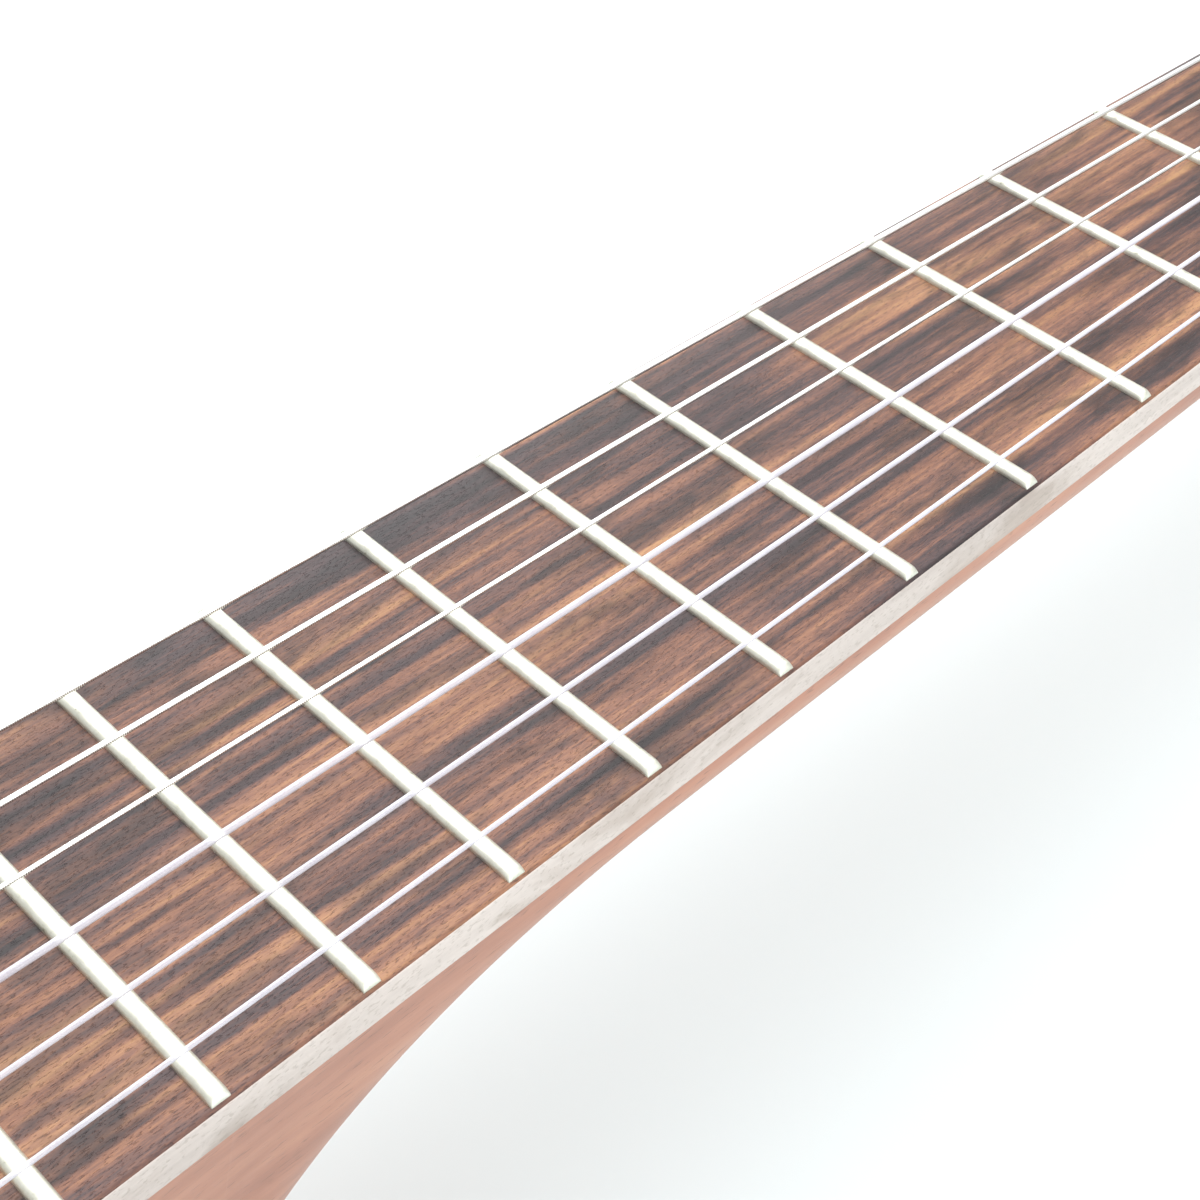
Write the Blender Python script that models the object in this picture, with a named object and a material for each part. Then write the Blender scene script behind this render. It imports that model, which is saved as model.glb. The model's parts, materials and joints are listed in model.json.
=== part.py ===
"""Nylon-string acoustic-electric guitar with a rounded cutaway and a slotted headstock.

Metres. +X runs from the tail to the headstock, +Y to the bass side, +Z out of the soundboard.
The flat back lies on Z = 0, and the origin is under the middle of the guitar's length.
Distances called "from nut" run along the strings, from the nut's front edge to the tail.
"""

from math import acos, atan2, cos, hypot, pi, radians, sin, tan

import bmesh
import bpy
from mathutils import Matrix, Vector

GAP = 0.0003  # glue line or running clearance between two pieces

# Strings and frets
SCALE_LENGTH = 0.650
STRING_COUNT = 6
STRING_DIAMETERS = (0.00072, 0.00082, 0.00102, 0.00076, 0.00091, 0.00110)  # 1 (thin) to 6
SPREAD_AT_NUT = 0.0425
SPREAD_AT_SADDLE = 0.060
STRING_HEIGHT_AT_NUT = 0.0023  # string axis above the fretboard
STRING_HEIGHT_AT_12 = 0.0043
SADDLE_SETBACK = 0.0015
FRET_COUNT = 19
FRET_CROWN_WIDTH = 0.0022
FRET_CROWN_HEIGHT = 0.0011
FRET_TANG_WIDTH = 0.0005
FRET_TANG_DEPTH = 0.0016
FRET_END_BEVEL = 0.0009

# Fretboard and neck
NUT_WIDTH = 0.052
WIDTH_AT_12 = 0.0625
BOARD_THICKNESS = 0.006
BOARD_END_AFTER_LAST_FRET = 0.006
NUT_THICKNESS = 0.005
NUT_RISE = 0.0030  # nut top above the fretboard
NECK_DEPTH_AT_NUT = 0.0150
NECK_DEPTH_AT_HEEL = 0.0170
HEEL_LENGTH = 0.088
HEEL_FOOT = 0.020  # length of the heel's flat foot
HEEL_BOTTOM_TAPER = 0.52
HEEL_CAP_CLEARANCE = 0.0008

# Headstock
HEAD_ANGLE = radians(15)
HEAD_LENGTH = 0.185
HEAD_WIDTH = 0.070
HEAD_THICKNESS = 0.020
VENEER_THICKNESS = 0.002
HEAD_ROOT_REACH = 0.009  # how far its root reaches under the nut
HEAD_ROOT_SHARE = 0.60  # width of the root underneath, against the front
HEAD_FLARE_LENGTH = 0.030
HEAD_RIB_WIDTH = 0.016  # solid wood between the two slots
CREST = (  # tip of the headstock: distance back from the tip, distance in from the side
    (0.0220, 0.0), (0.0140, 0.0008), (0.0085, 0.0045), (0.0080, 0.0095),
    (0.0062, 0.0150), (0.0030, 0.0215), (0.0008, 0.0285), (0.0, 0.0340),
)
HEAD_SHOULDER = (0.008, 0.0006)  # straight run before the flare, and its rise
SLOT_WIDTH = 0.016
SLOT_START = 0.026
SLOT_LENGTH = 0.124

# Tuning machines
TUNERS_A_SIDE = 3
FIRST_ROLLER = 0.056  # from the headstock's start
ROLLER_SPACING = 0.035
ROLLER_RADIUS = 0.005
ROLLER_DEPTH = 0.0100  # roller axis below the headstock's face
AXLE_RADIUS = 0.0025
JOURNAL_LENGTH = 0.005
STRING_HOLE_RADIUS = 0.0009
PLATE_THICKNESS = 0.0012
PLATE_WIDTH = 0.0150
PLATE_MARGIN = 0.014
GEAR_TEETH = 14
GEAR_PITCH_RADIUS = 0.0056
GEAR_WIDTH = 0.0034
WORM_PITCH_RADIUS = 0.0024
TOOTH_ADDENDUM = 0.0007
TOOTH_DEDENDUM = 0.0010
TOOTH_BACKLASH = 0.00018  # a side
WORM_TURNS = 3.0
WINDING_TURNS = 2
WINDING_STEPS = 9  # points a turn
WINDING_GAP = 0.0005  # between turns of a string on its roller
WINDING_STARTS = (0.0045, -0.0025, -0.0040)  # from the slot's middle, by roller from the nut
STRING_HOLE_OFFSETS = (0.0060, -0.0050, -0.0060)
SHAFT_RADIUS = 0.0014
COLLAR_RADIUS = 0.0023
COLLAR_THICKNESS = 0.0014
PLATE_CORNER = 0.003
EAR_THICKNESS = 0.0014
EAR_MARGIN = 0.0022  # from the shaft to the ear's sides
EAR_REACH = 0.0018  # from the shaft to the ear's end
EAR_CORNER = 0.0015
GEAR_CAP = 0.0014  # axle left outside the gear
BUTTON_DROP = 0.0300  # button centre below the roller axis
BUTTON_SIZE = (0.0085, 0.0056, 0.0072)  # half lengths along X, Y and Z

# Body
BODY_LENGTH = 0.490
LOWER_BOUT = 0.370
WAIST = 0.240
UPPER_BOUT = 0.280
BODY_DEPTH = 0.094
LOWER_BOUT_FROM_TAIL = 0.135
WAIST_FROM_JOINT = 0.200
UPPER_BOUT_FROM_JOINT = 0.108
CUTAWAY_DEPTH = 0.084  # deepest point of the scoop, from the neck joint
HORN_TIP = 0.062
SIDE_THICKNESS = 0.0022
TOP_THICKNESS = 0.0026
BACK_THICKNESS = 0.0028
BINDING_WIDTH = 0.0020
BINDING_HEIGHT = 0.0055
LINING_WIDTH = 0.0052
LINING_HEIGHT = 0.0150
SOUNDHOLE_RADIUS = 0.0425
SOUNDHOLE_FROM_BOARD = 0.0030
ROSETTE_FROM_HOLE = 0.0055
ROSETTE_WIDTH = 0.0130
ROSETTE_THICKNESS = 0.0010
BLOCK_WIDTH = 0.058
BLOCK_THICKNESS = 0.026
FAN_BRACES = 5
FAN_BRACE_WIDTH = 0.005
FAN_BRACE_HEIGHT = 0.005
FAN_BRACE_LENGTH = 0.190
BAR_WIDTH = 0.007
BAR_HEIGHT = 0.013
BRACE_END_HEIGHT = 0.3  # share of its height left at each end
BRACE_SCOOP = 0.16  # share of its length scooped at each end
BRACE_LET_IN = 0.0006
BAR_CLEARANCE = 0.006  # from the bar's end to the lining
BAR_FROM_ROSETTE = 0.008
BAR_FROM_SCOOP = 0.0015
FAN_FROM_ROSETTE = 0.020
FAN_SPACING = 0.030
FAN_SPLAY = 1.9
BACK_BAR_FROM_JOINT = 0.112
BACK_BAR_FROM_WAIST = 0.030

# Bridge
BRIDGE_LENGTH = 0.185
BRIDGE_WIDTH = 0.029
BRIDGE_AHEAD_OF_SADDLE = 0.0065
SADDLE_RIDGE_WIDTH = 0.0095
SADDLE_RIDGE_HEIGHT = 0.0078
TIE_BLOCK_LENGTH = 0.084
TIE_BLOCK_WIDTH = 0.012
TIE_BLOCK_HEIGHT = 0.0085
WING_HEIGHT = 0.0038
WING_SHOULDER = (0.004, 0.0014)  # slope along the wing's two long edges: width and drop
TIE_CHANNEL_HEIGHT = 0.0030
TIE_HOLE_RADIUS = 0.0011
TIE_HOLE_HEIGHT = 0.0050
SADDLE_THICKNESS = 0.0024
SADDLE_LENGTH = 0.080
SADDLE_SLOT_DEPTH = 0.0058
PICKUP_THICKNESS = 0.0014

# Electronics
PANEL_LENGTH = 0.078
PANEL_HEIGHT = 0.064
PANEL_THICKNESS = 0.0032
PANEL_CORNER = 0.004
PANEL_FROM_JOINT = 0.152
HOUSING_DEPTH = 0.0225
HOUSING_INSET = 0.004
BATTERY_BAY_LENGTH = 0.0295
BATTERY_BAY_HEIGHT = 0.052
BATTERY_BAY_DEPTH = 0.0215
DOOR_THICKNESS = 0.0022
DOOR_SINK = 0.0004  # door's face below the panel's
DOOR_PLAY = 0.0004
DOOR_AXIS_FROM_END = 0.0045
DOOR_LAP = 0.0010  # door past the bay, above and below
DOOR_END_LAP = 0.0025
BAY_FROM_AXIS = 0.0012
HINGE_PIN_RADIUS = 0.0007
HINGE_PIN_LENGTH = 0.0024
KNOB_RADIUS = 0.0058
KNOB_HEIGHT = 0.0085
KNOB_SPACING = 0.0185
KNOB_SHAFT_RADIUS = 0.0030
KNOB_SHAFT_LENGTH = 0.0038
KNOB_FROM_END = 0.0175
JACK_BARREL_RADIUS = 0.0060
JACK_BORE_RADIUS = 0.0033
JACK_BORE_DEPTH = 0.031
JACK_BARREL_LENGTH = 0.040
JACK_FLANGE_RADIUS = 0.0085
JACK_OUT = 0.0125
JACK_NUT_THICKNESS = 0.003

# Places worked out from the dimensions above
JOINT_FROM_NUT = SCALE_LENGTH / 2
SADDLE_FROM_NUT = SCALE_LENGTH + SADDLE_SETBACK
TAIL_FROM_NUT = JOINT_FROM_NUT + BODY_LENGTH
HEAD_START = NUT_THICKNESS + GAP
NUT_X = (TAIL_FROM_NUT + JACK_OUT - HEAD_START - HEAD_LENGTH * cos(HEAD_ANGLE)) / 2
TOP_Z = BODY_DEPTH
BOARD_Z = TOP_Z + GAP
BOARD_TOP_Z = BOARD_Z + BOARD_THICKNESS
MID_Z = BODY_DEPTH / 2


def along(from_nut):
    """World X of a place given by its distance from the nut."""
    return NUT_X - from_nut


def fret_place(number):
    return SCALE_LENGTH * (1 - 2 ** (-number / 12))


def board_half_width(from_nut):
    taper = (WIDTH_AT_12 - NUT_WIDTH) / JOINT_FROM_NUT
    return (NUT_WIDTH + taper * from_nut) / 2


ROSETTE_INNER = SOUNDHOLE_RADIUS + ROSETTE_FROM_HOLE
BOARD_END = fret_place(FRET_COUNT) + BOARD_END_AFTER_LAST_FRET
SOUNDHOLE_FROM_NUT = BOARD_END + SOUNDHOLE_FROM_BOARD + SOUNDHOLE_RADIUS
HEAD_FRAME = Matrix.Translation((NUT_X + HEAD_START, 0, TOP_Z))
HEAD_FRAME = HEAD_FRAME @ Matrix.Rotation(HEAD_ANGLE, 4, "Y")


def string_spot(number, from_nut):
    """Middle of a string at a distance from the nut; string 1 is on the treble side."""
    share = from_nut / SADDLE_FROM_NUT
    spread = SPREAD_AT_NUT + (SPREAD_AT_SADDLE - SPREAD_AT_NUT) * share
    y = spread * ((number - 1) / (STRING_COUNT - 1) - 0.5)
    rise = (STRING_HEIGHT_AT_12 - STRING_HEIGHT_AT_NUT) / JOINT_FROM_NUT
    z = BOARD_TOP_Z + STRING_HEIGHT_AT_NUT + rise * from_nut
    return Vector((along(from_nut), y, z))


# Scene and mesh helpers


def clear_scene():
    for item in list(bpy.data.objects):
        bpy.data.objects.remove(item, do_unlink=True)


def make_material(name, colour, roughness, metallic=0.0):
    material = bpy.data.materials.new(name)
    material.use_nodes = True
    shader = material.node_tree.nodes["Principled BSDF"]
    channels = [int(colour[i : i + 2], 16) / 255 for i in (0, 2, 4)]
    linear = [c / 12.92 if c <= 0.04045 else ((c + 0.055) / 1.055) ** 2.4 for c in channels]
    shader.inputs["Base Color"].default_value = (*linear, 1)
    shader.inputs["Roughness"].default_value = roughness
    shader.inputs["Metallic"].default_value = metallic
    return material


def make_frame(name, matrix):
    """An empty that pieces are placed on."""
    frame = bpy.data.objects.new(name, None)
    frame.empty_display_size = 0.02
    bpy.context.collection.objects.link(frame)
    frame.matrix_world = matrix
    return frame


def make_object(name, points, faces, material=None, frame=None, place=(0, 0, 0)):
    mesh = bpy.data.meshes.new(name)
    mesh.from_pydata([tuple(point) for point in points], [], faces)
    work = bmesh.new()
    work.from_mesh(mesh)
    bmesh.ops.recalc_face_normals(work, faces=work.faces)
    work.to_mesh(mesh)
    work.free()
    item = bpy.data.objects.new(name, mesh)
    bpy.context.collection.objects.link(item)
    item.parent = frame
    item.location = place
    if material:
        mesh.materials.append(material)
    return item


def loft(rings, closed=False):
    """Points and faces of a solid through rings of equal length; closed joins last to first."""
    count = len(rings[0])
    points = [point for ring in rings for point in ring]
    faces = []
    for r in range(len(rings) if closed else len(rings) - 1):
        here = r * count
        after = (r + 1) % len(rings) * count
        for i in range(count):
            j = (i + 1) % count
            faces.append((here + i, here + j, after + j, after + i))
    if not closed:
        faces.append(tuple(range(count)))
        faces.append(tuple(range((len(rings) - 1) * count, len(rings) * count)))
    return points, faces


def prism(outline, low, high):
    """A flat outline in X and Y, extruded along Z."""
    return loft([[(x, y, low) for x, y in outline], [(x, y, high) for x, y in outline]])


def rectangle(x0, x1, y0, y1):
    return [(x0, y0), (x1, y0), (x1, y1), (x0, y1)]


def circle(radius, sides, x=0.0, y=0.0):
    steps = [2 * pi * i / sides for i in range(sides)]
    return [(x + radius * cos(a), y + radius * sin(a)) for a in steps]


def turned(profile, sides):
    """A solid turned about Z from (height, radius) pairs that start and end on the axis."""
    points = [(0, 0, profile[0][0])]
    rings = profile[1:-1]
    for height, radius in rings:
        points += [(x, y, height) for x, y in circle(radius, sides)]
    points.append((0, 0, profile[-1][0]))
    last = len(points) - 1
    faces = []
    for i in range(sides):
        j = (i + 1) % sides
        faces.append((0, 1 + j, 1 + i))
        for r in range(len(rings) - 1):
            here = 1 + r * sides
            faces.append((here + i, here + j, here + sides + j, here + sides + i))
        top = 1 + (len(rings) - 1) * sides
        faces.append((top + i, top + j, last))
    return points, faces


def moved(solid, matrix):
    points, faces = solid
    return [matrix @ Vector(point) for point in points], faces


def combine(item, operation, solids):
    """Joins solids to an object, or cuts them out of it, one after another."""
    for solid in solids:
        tool = make_object("tool", *solid)
        tool.parent = item.parent
        tool.location = item.location
        step = item.modifiers.new("step", "BOOLEAN")
        step.operation = operation
        step.solver = "EXACT"
        step.object = tool
        bpy.context.view_layer.update()
        graph = bpy.context.evaluated_depsgraph_get()
        mesh = bpy.data.meshes.new_from_object(item.evaluated_get(graph))
        item.modifiers.clear()
        mesh.name = item.name
        item.data = mesh
        bpy.data.objects.remove(tool, do_unlink=True)
    return item


def shade_round(item, angle=35):
    item.data.shade_smooth()
    item.data.set_sharp_from_angle(angle=radians(angle))
    return item


def turn_to(axis):
    """Rotation that takes +Z to an axis."""
    return Vector((0, 0, 1)).rotation_difference(Vector(axis)).to_matrix().to_4x4()


# Body outline


def body_knots():
    """(from joint, y, heading in degrees, steps to the next knot); 0 heads tailward, 90 to +Y."""
    low = BODY_LENGTH - LOWER_BOUT_FROM_TAIL
    waist, upper = WAIST_FROM_JOINT, UPPER_BOUT_FROM_JOINT
    flank = WIDTH_AT_12 / 2
    return [
        (0, -flank + 0.003, 90, 1),
        (0, flank, 90, 8),
        (upper, UPPER_BOUT / 2, 0, 5),
        (waist, WAIST / 2, 0, 7),
        (low, LOWER_BOUT / 2, 0, 9),
        (BODY_LENGTH, 0, -90, 9),
        (low, -LOWER_BOUT / 2, 180, 7),
        (waist, -WAIST / 2, 180, 5),
        (upper + 0.010, -UPPER_BOUT / 2, 180, 6),
        (HORN_TIP, -UPPER_BOUT / 2 + 0.036, 90, 4),
        (CUTAWAY_DEPTH, -flank - 0.034, 90, 5),
        (0.040, -flank - 0.0065, 172, 2),
        (0.011, -flank - 0.0045, 178, 3),
    ]


def body_curve():
    """The outline in X and Y as a chain of curves with the headings at its knots."""
    knots = body_knots()
    points = []
    for start, end in zip(knots, knots[1:] + knots[:1]):
        chord = hypot(end[0] - start[0], end[1] - start[1])
        pull = 0.4 * chord
        a, b = radians(start[2]), radians(end[2])
        p0 = Vector(start[:2])
        p3 = Vector(end[:2])
        p1 = p0 + pull * Vector((cos(a), sin(a)))
        p2 = p3 - pull * Vector((cos(b), sin(b)))
        for i in range(start[3]):
            t = i / start[3]
            s = 1 - t
            spot = s**3 * p0 + 3 * s * s * t * p1 + 3 * s * t * t * p2 + t**3 * p3
            points.append((along(JOINT_FROM_NUT + spot.x), spot.y))
    return points


def inset(points, distance):
    """The outline moved inward, to its left, by a distance."""
    result = []
    for i, here in enumerate(points):
        before = Vector(points[i - 1])
        after = Vector(points[(i + 1) % len(points)])
        here = Vector(here)
        one = (here - before).normalized()
        two = (after - here).normalized()
        normal = Vector((-one.y - two.y, one.x + two.x)).normalized()
        reach = distance / max(0.5, normal.dot(Vector((-one.y, one.x))))
        result.append(tuple(here + normal * reach))
    return result


def rim(section):
    """A closed band round the body from (distance inward, z) pairs."""
    outlines = {d: inset(OUTLINE, d) for d, _ in section}
    rings = [[(*outlines[d][i], z) for d, z in section] for i in range(len(OUTLINE))]
    return loft(rings, closed=True)


OUTLINE = body_curve()
EDGE = BINDING_WIDTH + GAP  # plates and the rebated sides start this far in
LINED_WALL = max(SIDE_THICKNESS, EDGE + 0.0004)


def make_sides(material):
    low_plate = BACK_THICKNESS + GAP
    high_plate = TOP_Z - TOP_THICKNESS - GAP
    wall = LINED_WALL
    section = [
        (0, BINDING_HEIGHT + GAP),
        (0, TOP_Z - BINDING_HEIGHT - GAP),
        (EDGE, TOP_Z - BINDING_HEIGHT - GAP),
        (EDGE, high_plate),
        (wall + LINING_WIDTH, high_plate),
        (wall, TOP_Z - LINING_HEIGHT - TOP_THICKNESS),
        (wall, LINING_HEIGHT + BACK_THICKNESS),
        (wall + LINING_WIDTH, low_plate),
        (EDGE, low_plate),
        (EDGE, BINDING_HEIGHT + GAP),
    ]
    sides = make_object("sides", *rim(section), material)
    combine(sides, "DIFFERENCE", [housing_box(2 * GAP, 0.02), jack_barrel_hole()])
    return shade_round(sides)


def make_binding(name, low, high, material):
    section = [(0, low), (0, high), (BINDING_WIDTH, high), (BINDING_WIDTH, low)]
    return shade_round(make_object(name, *rim(section), material))


def brace(start, end, width, height, root, down):
    """A bar with scooped ends, standing on a plate at height root, from start to end in X and Y."""
    a, b = Vector(start), Vector(end)
    run = (b - a).normalized()
    across = Vector((-run.y, run.x)) * width / 2
    sign = -1 if down else 1
    sink = -sign * BRACE_LET_IN
    length = (b - a).length
    steps = [(0.0, BRACE_END_HEIGHT), (BRACE_SCOOP, 1.0), (1 - BRACE_SCOOP, 1.0), (1.0, BRACE_END_HEIGHT)]
    rings = []
    for share, tall in steps:
        middle = a + run * length * share
        low = root + sink
        high = root + sign * height * tall
        left, right = middle + across, middle - across
        rings.append([(*left, low), (*right, low), (*right, high), (*left, high)])
    return loft(rings)


def make_soundboard(material):
    low = TOP_Z - TOP_THICKNESS
    board = make_object("soundboard", *prism(inset(OUTLINE, EDGE), low, TOP_Z), material)
    x = along(SOUNDHOLE_FROM_NUT)
    hole = prism(circle(SOUNDHOLE_RADIUS, 36, x), low - 0.01, TOP_Z + 0.01)
    floor = TOP_Z - ROSETTE_THICKNESS - GAP
    channel = ring_band(ROSETTE_INNER, ROSETTE_INNER + ROSETTE_WIDTH, floor, TOP_Z + 0.01)
    bars = []
    past_scoop = JOINT_FROM_NUT + CUTAWAY_DEPTH + LINED_WALL + LINING_WIDTH + BAR_FROM_SCOOP + BAR_WIDTH / 2
    past_rosette = SOUNDHOLE_FROM_NUT + ROSETTE_INNER + ROSETTE_WIDTH + BAR_FROM_ROSETTE
    for bar_x in (along(past_scoop), along(past_rosette)):
        bass = side_reach(bar_x, 1) - LINING_WIDTH - BAR_CLEARANCE
        treble = side_reach(bar_x, -1) + LINING_WIDTH + BAR_CLEARANCE
        bars.append(brace((bar_x, treble), (bar_x, bass), BAR_WIDTH, BAR_HEIGHT, low, True))
    fan_start = x - ROSETTE_INNER - ROSETTE_WIDTH - FAN_FROM_ROSETTE
    for i in range(FAN_BRACES):
        lean = (i - (FAN_BRACES - 1) / 2) * FAN_SPACING
        start = (fan_start, lean)
        end = (fan_start - FAN_BRACE_LENGTH + abs(lean) * 0.4, lean * FAN_SPLAY)
        bars.append(brace(start, end, FAN_BRACE_WIDTH, FAN_BRACE_HEIGHT, low, True))
    combine(board, "DIFFERENCE", [hole, channel])
    combine(board, "UNION", bars)
    return shade_round(board)


def ring_band(inner, outer, low, high):
    """A flat ring round the soundhole."""
    x = along(SOUNDHOLE_FROM_NUT)
    sides = 36
    rings = []
    for i in range(sides):
        a = 2 * pi * i / sides
        near = (x + inner * cos(a), inner * sin(a))
        far = (x + outer * cos(a), outer * sin(a))
        rings.append([(*near, low), (*far, low), (*far, high), (*near, high)])
    return loft(rings, closed=True)


def side_reach(x, side):
    """How far the inner face of the sides is from the middle line at x; side is 1 or -1."""
    inner = inset(OUTLINE, EDGE + SIDE_THICKNESS)
    best = 0.0
    for i, here in enumerate(inner):
        before = inner[i - 1]
        if min(here[0], before[0]) <= x <= max(here[0], before[0]) and here[0] != before[0]:
            share = (x - before[0]) / (here[0] - before[0])
            y = before[1] + share * (here[1] - before[1])
            if y * side > best * side:
                best = y
    return best


def make_back(material):
    plate = make_object("back_plate", *prism(inset(OUTLINE, EDGE), 0, BACK_THICKNESS), material)
    bars = []
    places = (BACK_BAR_FROM_JOINT, WAIST_FROM_JOINT + BACK_BAR_FROM_WAIST, BODY_LENGTH - LOWER_BOUT_FROM_TAIL)
    for from_joint in places:
        bar_x = along(JOINT_FROM_NUT + from_joint)
        bass = side_reach(bar_x, 1) - LINING_WIDTH - BAR_CLEARANCE
        treble = side_reach(bar_x, -1) + LINING_WIDTH + BAR_CLEARANCE
        bars.append(brace((bar_x, treble), (bar_x, bass), BAR_WIDTH, BAR_HEIGHT, BACK_THICKNESS, False))
    combine(plate, "UNION", bars)
    return shade_round(plate)


def make_rosette(material):
    outer = ROSETTE_INNER + ROSETTE_WIDTH - GAP
    band = ring_band(ROSETTE_INNER + GAP, outer, TOP_Z - ROSETTE_THICKNESS, TOP_Z)
    return shade_round(make_object("rosette", *band, material))


def make_neck_block(material):
    """Flat front against the sides, notched for the linings, narrower on the cutaway side."""
    wall_x = along(JOINT_FROM_NUT) - LINED_WALL - GAP
    lining_x = wall_x - LINING_WIDTH
    inner_x = wall_x - BLOCK_THICKNESS
    low, high = BACK_THICKNESS + GAP, TOP_Z - TOP_THICKNESS - GAP
    notch_low, notch_high = low + LINING_HEIGHT + 0.001, high - LINING_HEIGHT - 0.001
    section = [
        (wall_x, notch_low), (wall_x, notch_high), (lining_x, notch_high), (lining_x, high),
        (inner_x, high), (inner_x, low), (lining_x, low), (lining_x, notch_low),
    ]
    treble = -WIDTH_AT_12 / 2 + 0.011
    bass = WIDTH_AT_12 / 2 - 0.001
    rings = [[(x, y, z) for x, z in section] for y in (treble, bass)]
    return make_object("neck_block", *loft(rings), material)


def tail_face(distance, half):
    """Points across the tail, from -half to half in Y, at a distance inside the outline."""
    near_tail = [p for p in inset(OUTLINE, distance) if p[0] < along(TAIL_FROM_NUT - 0.08)]
    line = sorted(near_tail, key=lambda p: p[1])
    picked = [p for p in line if abs(p[1]) < half]
    ends = []
    for y in (-half, half):
        for one, two in zip(line, line[1:]):
            if one[1] <= y < two[1]:
                share = (y - one[1]) / (two[1] - one[1])
                ends.append((one[0] + share * (two[0] - one[0]), y))
    return [ends[0]] + picked + [ends[1]]


def make_end_block(material):
    half = BLOCK_WIDTH / 2
    low, high = BACK_THICKNESS + GAP, TOP_Z - TOP_THICKNESS - GAP
    inner_x = along(TAIL_FROM_NUT) + LINED_WALL + LINING_WIDTH + BLOCK_THICKNESS
    back = [(inner_x, half), (inner_x, -half)]
    at_linings = tail_face(LINED_WALL + LINING_WIDTH + GAP, half) + back
    block = make_object("end_block", *prism(at_linings, low, high), material)
    clear = LINING_HEIGHT + 0.001
    foot = prism(tail_face(LINED_WALL + GAP, half) + back, low + clear, high - clear)
    combine(block, "UNION", [foot])
    combine(block, "DIFFERENCE", [jack_barrel_hole()])
    return shade_round(block)


# Neck


def heel_share(from_nut):
    """0 along the neck, rising to 1 where the heel is full depth."""
    start = JOINT_FROM_NUT - HEEL_LENGTH
    share = (from_nut - start) / (HEEL_LENGTH - HEEL_FOOT)
    return min(1.0, max(0.0, share))


def neck_ring(from_nut, half_count=6):
    """Flat on top, round below; the heel gets deeper and narrows towards the back."""
    grow = heel_share(from_nut)
    base = NECK_DEPTH_AT_NUT + (NECK_DEPTH_AT_HEEL - NECK_DEPTH_AT_NUT) * from_nut / JOINT_FROM_NUT
    full = TOP_Z - HEEL_CAP_CLEARANCE
    depth = base + (full - base) * (1 - (1 - grow**2.2) ** 0.55)
    half = board_half_width(from_nut) - 0.0002
    power = 0.86 - 0.40 * grow
    ring = []
    for i in range(2 * half_count + 1):
        a = pi * i / (2 * half_count)
        down = sin(a) ** power if 0 < i < 2 * half_count else 0.0
        side = -cos(a)
        side = (abs(side) ** power) * (1 if side > 0 else -1)
        narrow = 1 - HEEL_BOTTOM_TAPER * grow * min(1.0, depth * down / full) ** 0.8
        ring.append((along(from_nut), half * side * narrow, TOP_Z - depth * down))
    return ring


def head_outline():
    """The headstock seen from the front, with a shallow crest at its tip."""
    half_start = NUT_WIDTH / 2
    half = HEAD_WIDTH / 2
    run, rise = HEAD_SHOULDER
    side = [(0.0, half_start), (run, half_start + rise)]
    for i in range(1, 6):
        t = i / 5
        ease = t * t * (3 - 2 * t)
        x = run + (HEAD_FLARE_LENGTH - run) * t
        side.append((x, half_start + rise + (half - half_start - rise) * ease))
    side += [(HEAD_LENGTH - back, half - drop) for back, drop in CREST]
    return side + [(x, -y) for x, y in reversed(side)]


def slot_outline(side, grow=0.0):
    """A tuner slot with round ends; side is 1 for bass and -1 for treble."""
    radius = SLOT_WIDTH / 2
    y = side * (HEAD_RIB_WIDTH / 2 + radius)
    near, far = SLOT_START + radius, SLOT_START + SLOT_LENGTH - radius
    radius += grow
    steps = [pi / 2 + pi * i / 6 for i in range(7)]
    points = [(near + radius * cos(a), y + radius * sin(a)) for a in steps]
    return points + [(far - radius * cos(a), y - radius * sin(a)) for a in steps]


def roller_places():
    """(number, x, side) of each roller; 1 to 3 on the treble side, 4 to 6 on the bass side."""
    places = []
    for number in range(1, STRING_COUNT + 1):
        side = -1 if number <= TUNERS_A_SIDE else 1
        rank = number - 1 if side < 0 else STRING_COUNT - number
        places.append((number, FIRST_ROLLER + ROLLER_SPACING * rank, side))
    return places


def make_neck(material):
    heel_start = JOINT_FROM_NUT - HEEL_LENGTH
    stations = [-NUT_THICKNESS] + [heel_start * i / 4 for i in range(1, 5)]
    stations += [heel_start + (HEEL_LENGTH - HEEL_FOOT) * sin(pi / 2 * i / 8) for i in range(1, 9)]
    stations += [JOINT_FROM_NUT - GAP]
    neck = make_object("neck", *loft([neck_ring(s) for s in stations]), material)
    low = -HEAD_THICKNESS
    high = -VENEER_THICKNESS - GAP
    outline = head_outline()
    top = [(x if x > 0 else -0.0004, y, high) for x, y in outline]
    bottom = []
    for x, y in outline:
        share = min(1.0, x / HEAD_FLARE_LENGTH)
        full = HEAD_ROOT_SHARE + (1 - HEAD_ROOT_SHARE) * share * share * (3 - 2 * share)
        bottom.append((x if x > 0 else -HEAD_ROOT_REACH, y * full, low))
    head = loft([bottom, top])
    combine(neck, "UNION", [moved(head, HEAD_FRAME)])
    slots = [moved(prism(slot_outline(side), low - 0.01, 0.02), HEAD_FRAME) for side in (1, -1)]
    holes = [moved(roller_bore(x, side), HEAD_FRAME) for _, x, side in roller_places()]
    combine(neck, "DIFFERENCE", slots + holes)
    return shade_round(neck, 30)


def roller_bore(x, side):
    """The hole a roller runs in, from the central rib out through the headstock's side."""
    radius = (ROLLER_RADIUS + GAP) / cos(pi / 10)
    inner = HEAD_RIB_WIDTH / 2 - JOURNAL_LENGTH - GAP
    outer = HEAD_WIDTH / 2 + 0.01
    shape = turned([(inner, 0), (inner, radius), (outer, radius), (outer, 0)], 10)
    return moved(shape, Matrix.Translation((x, 0, -ROLLER_DEPTH)) @ turn_to((0, side, 0)))


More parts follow.
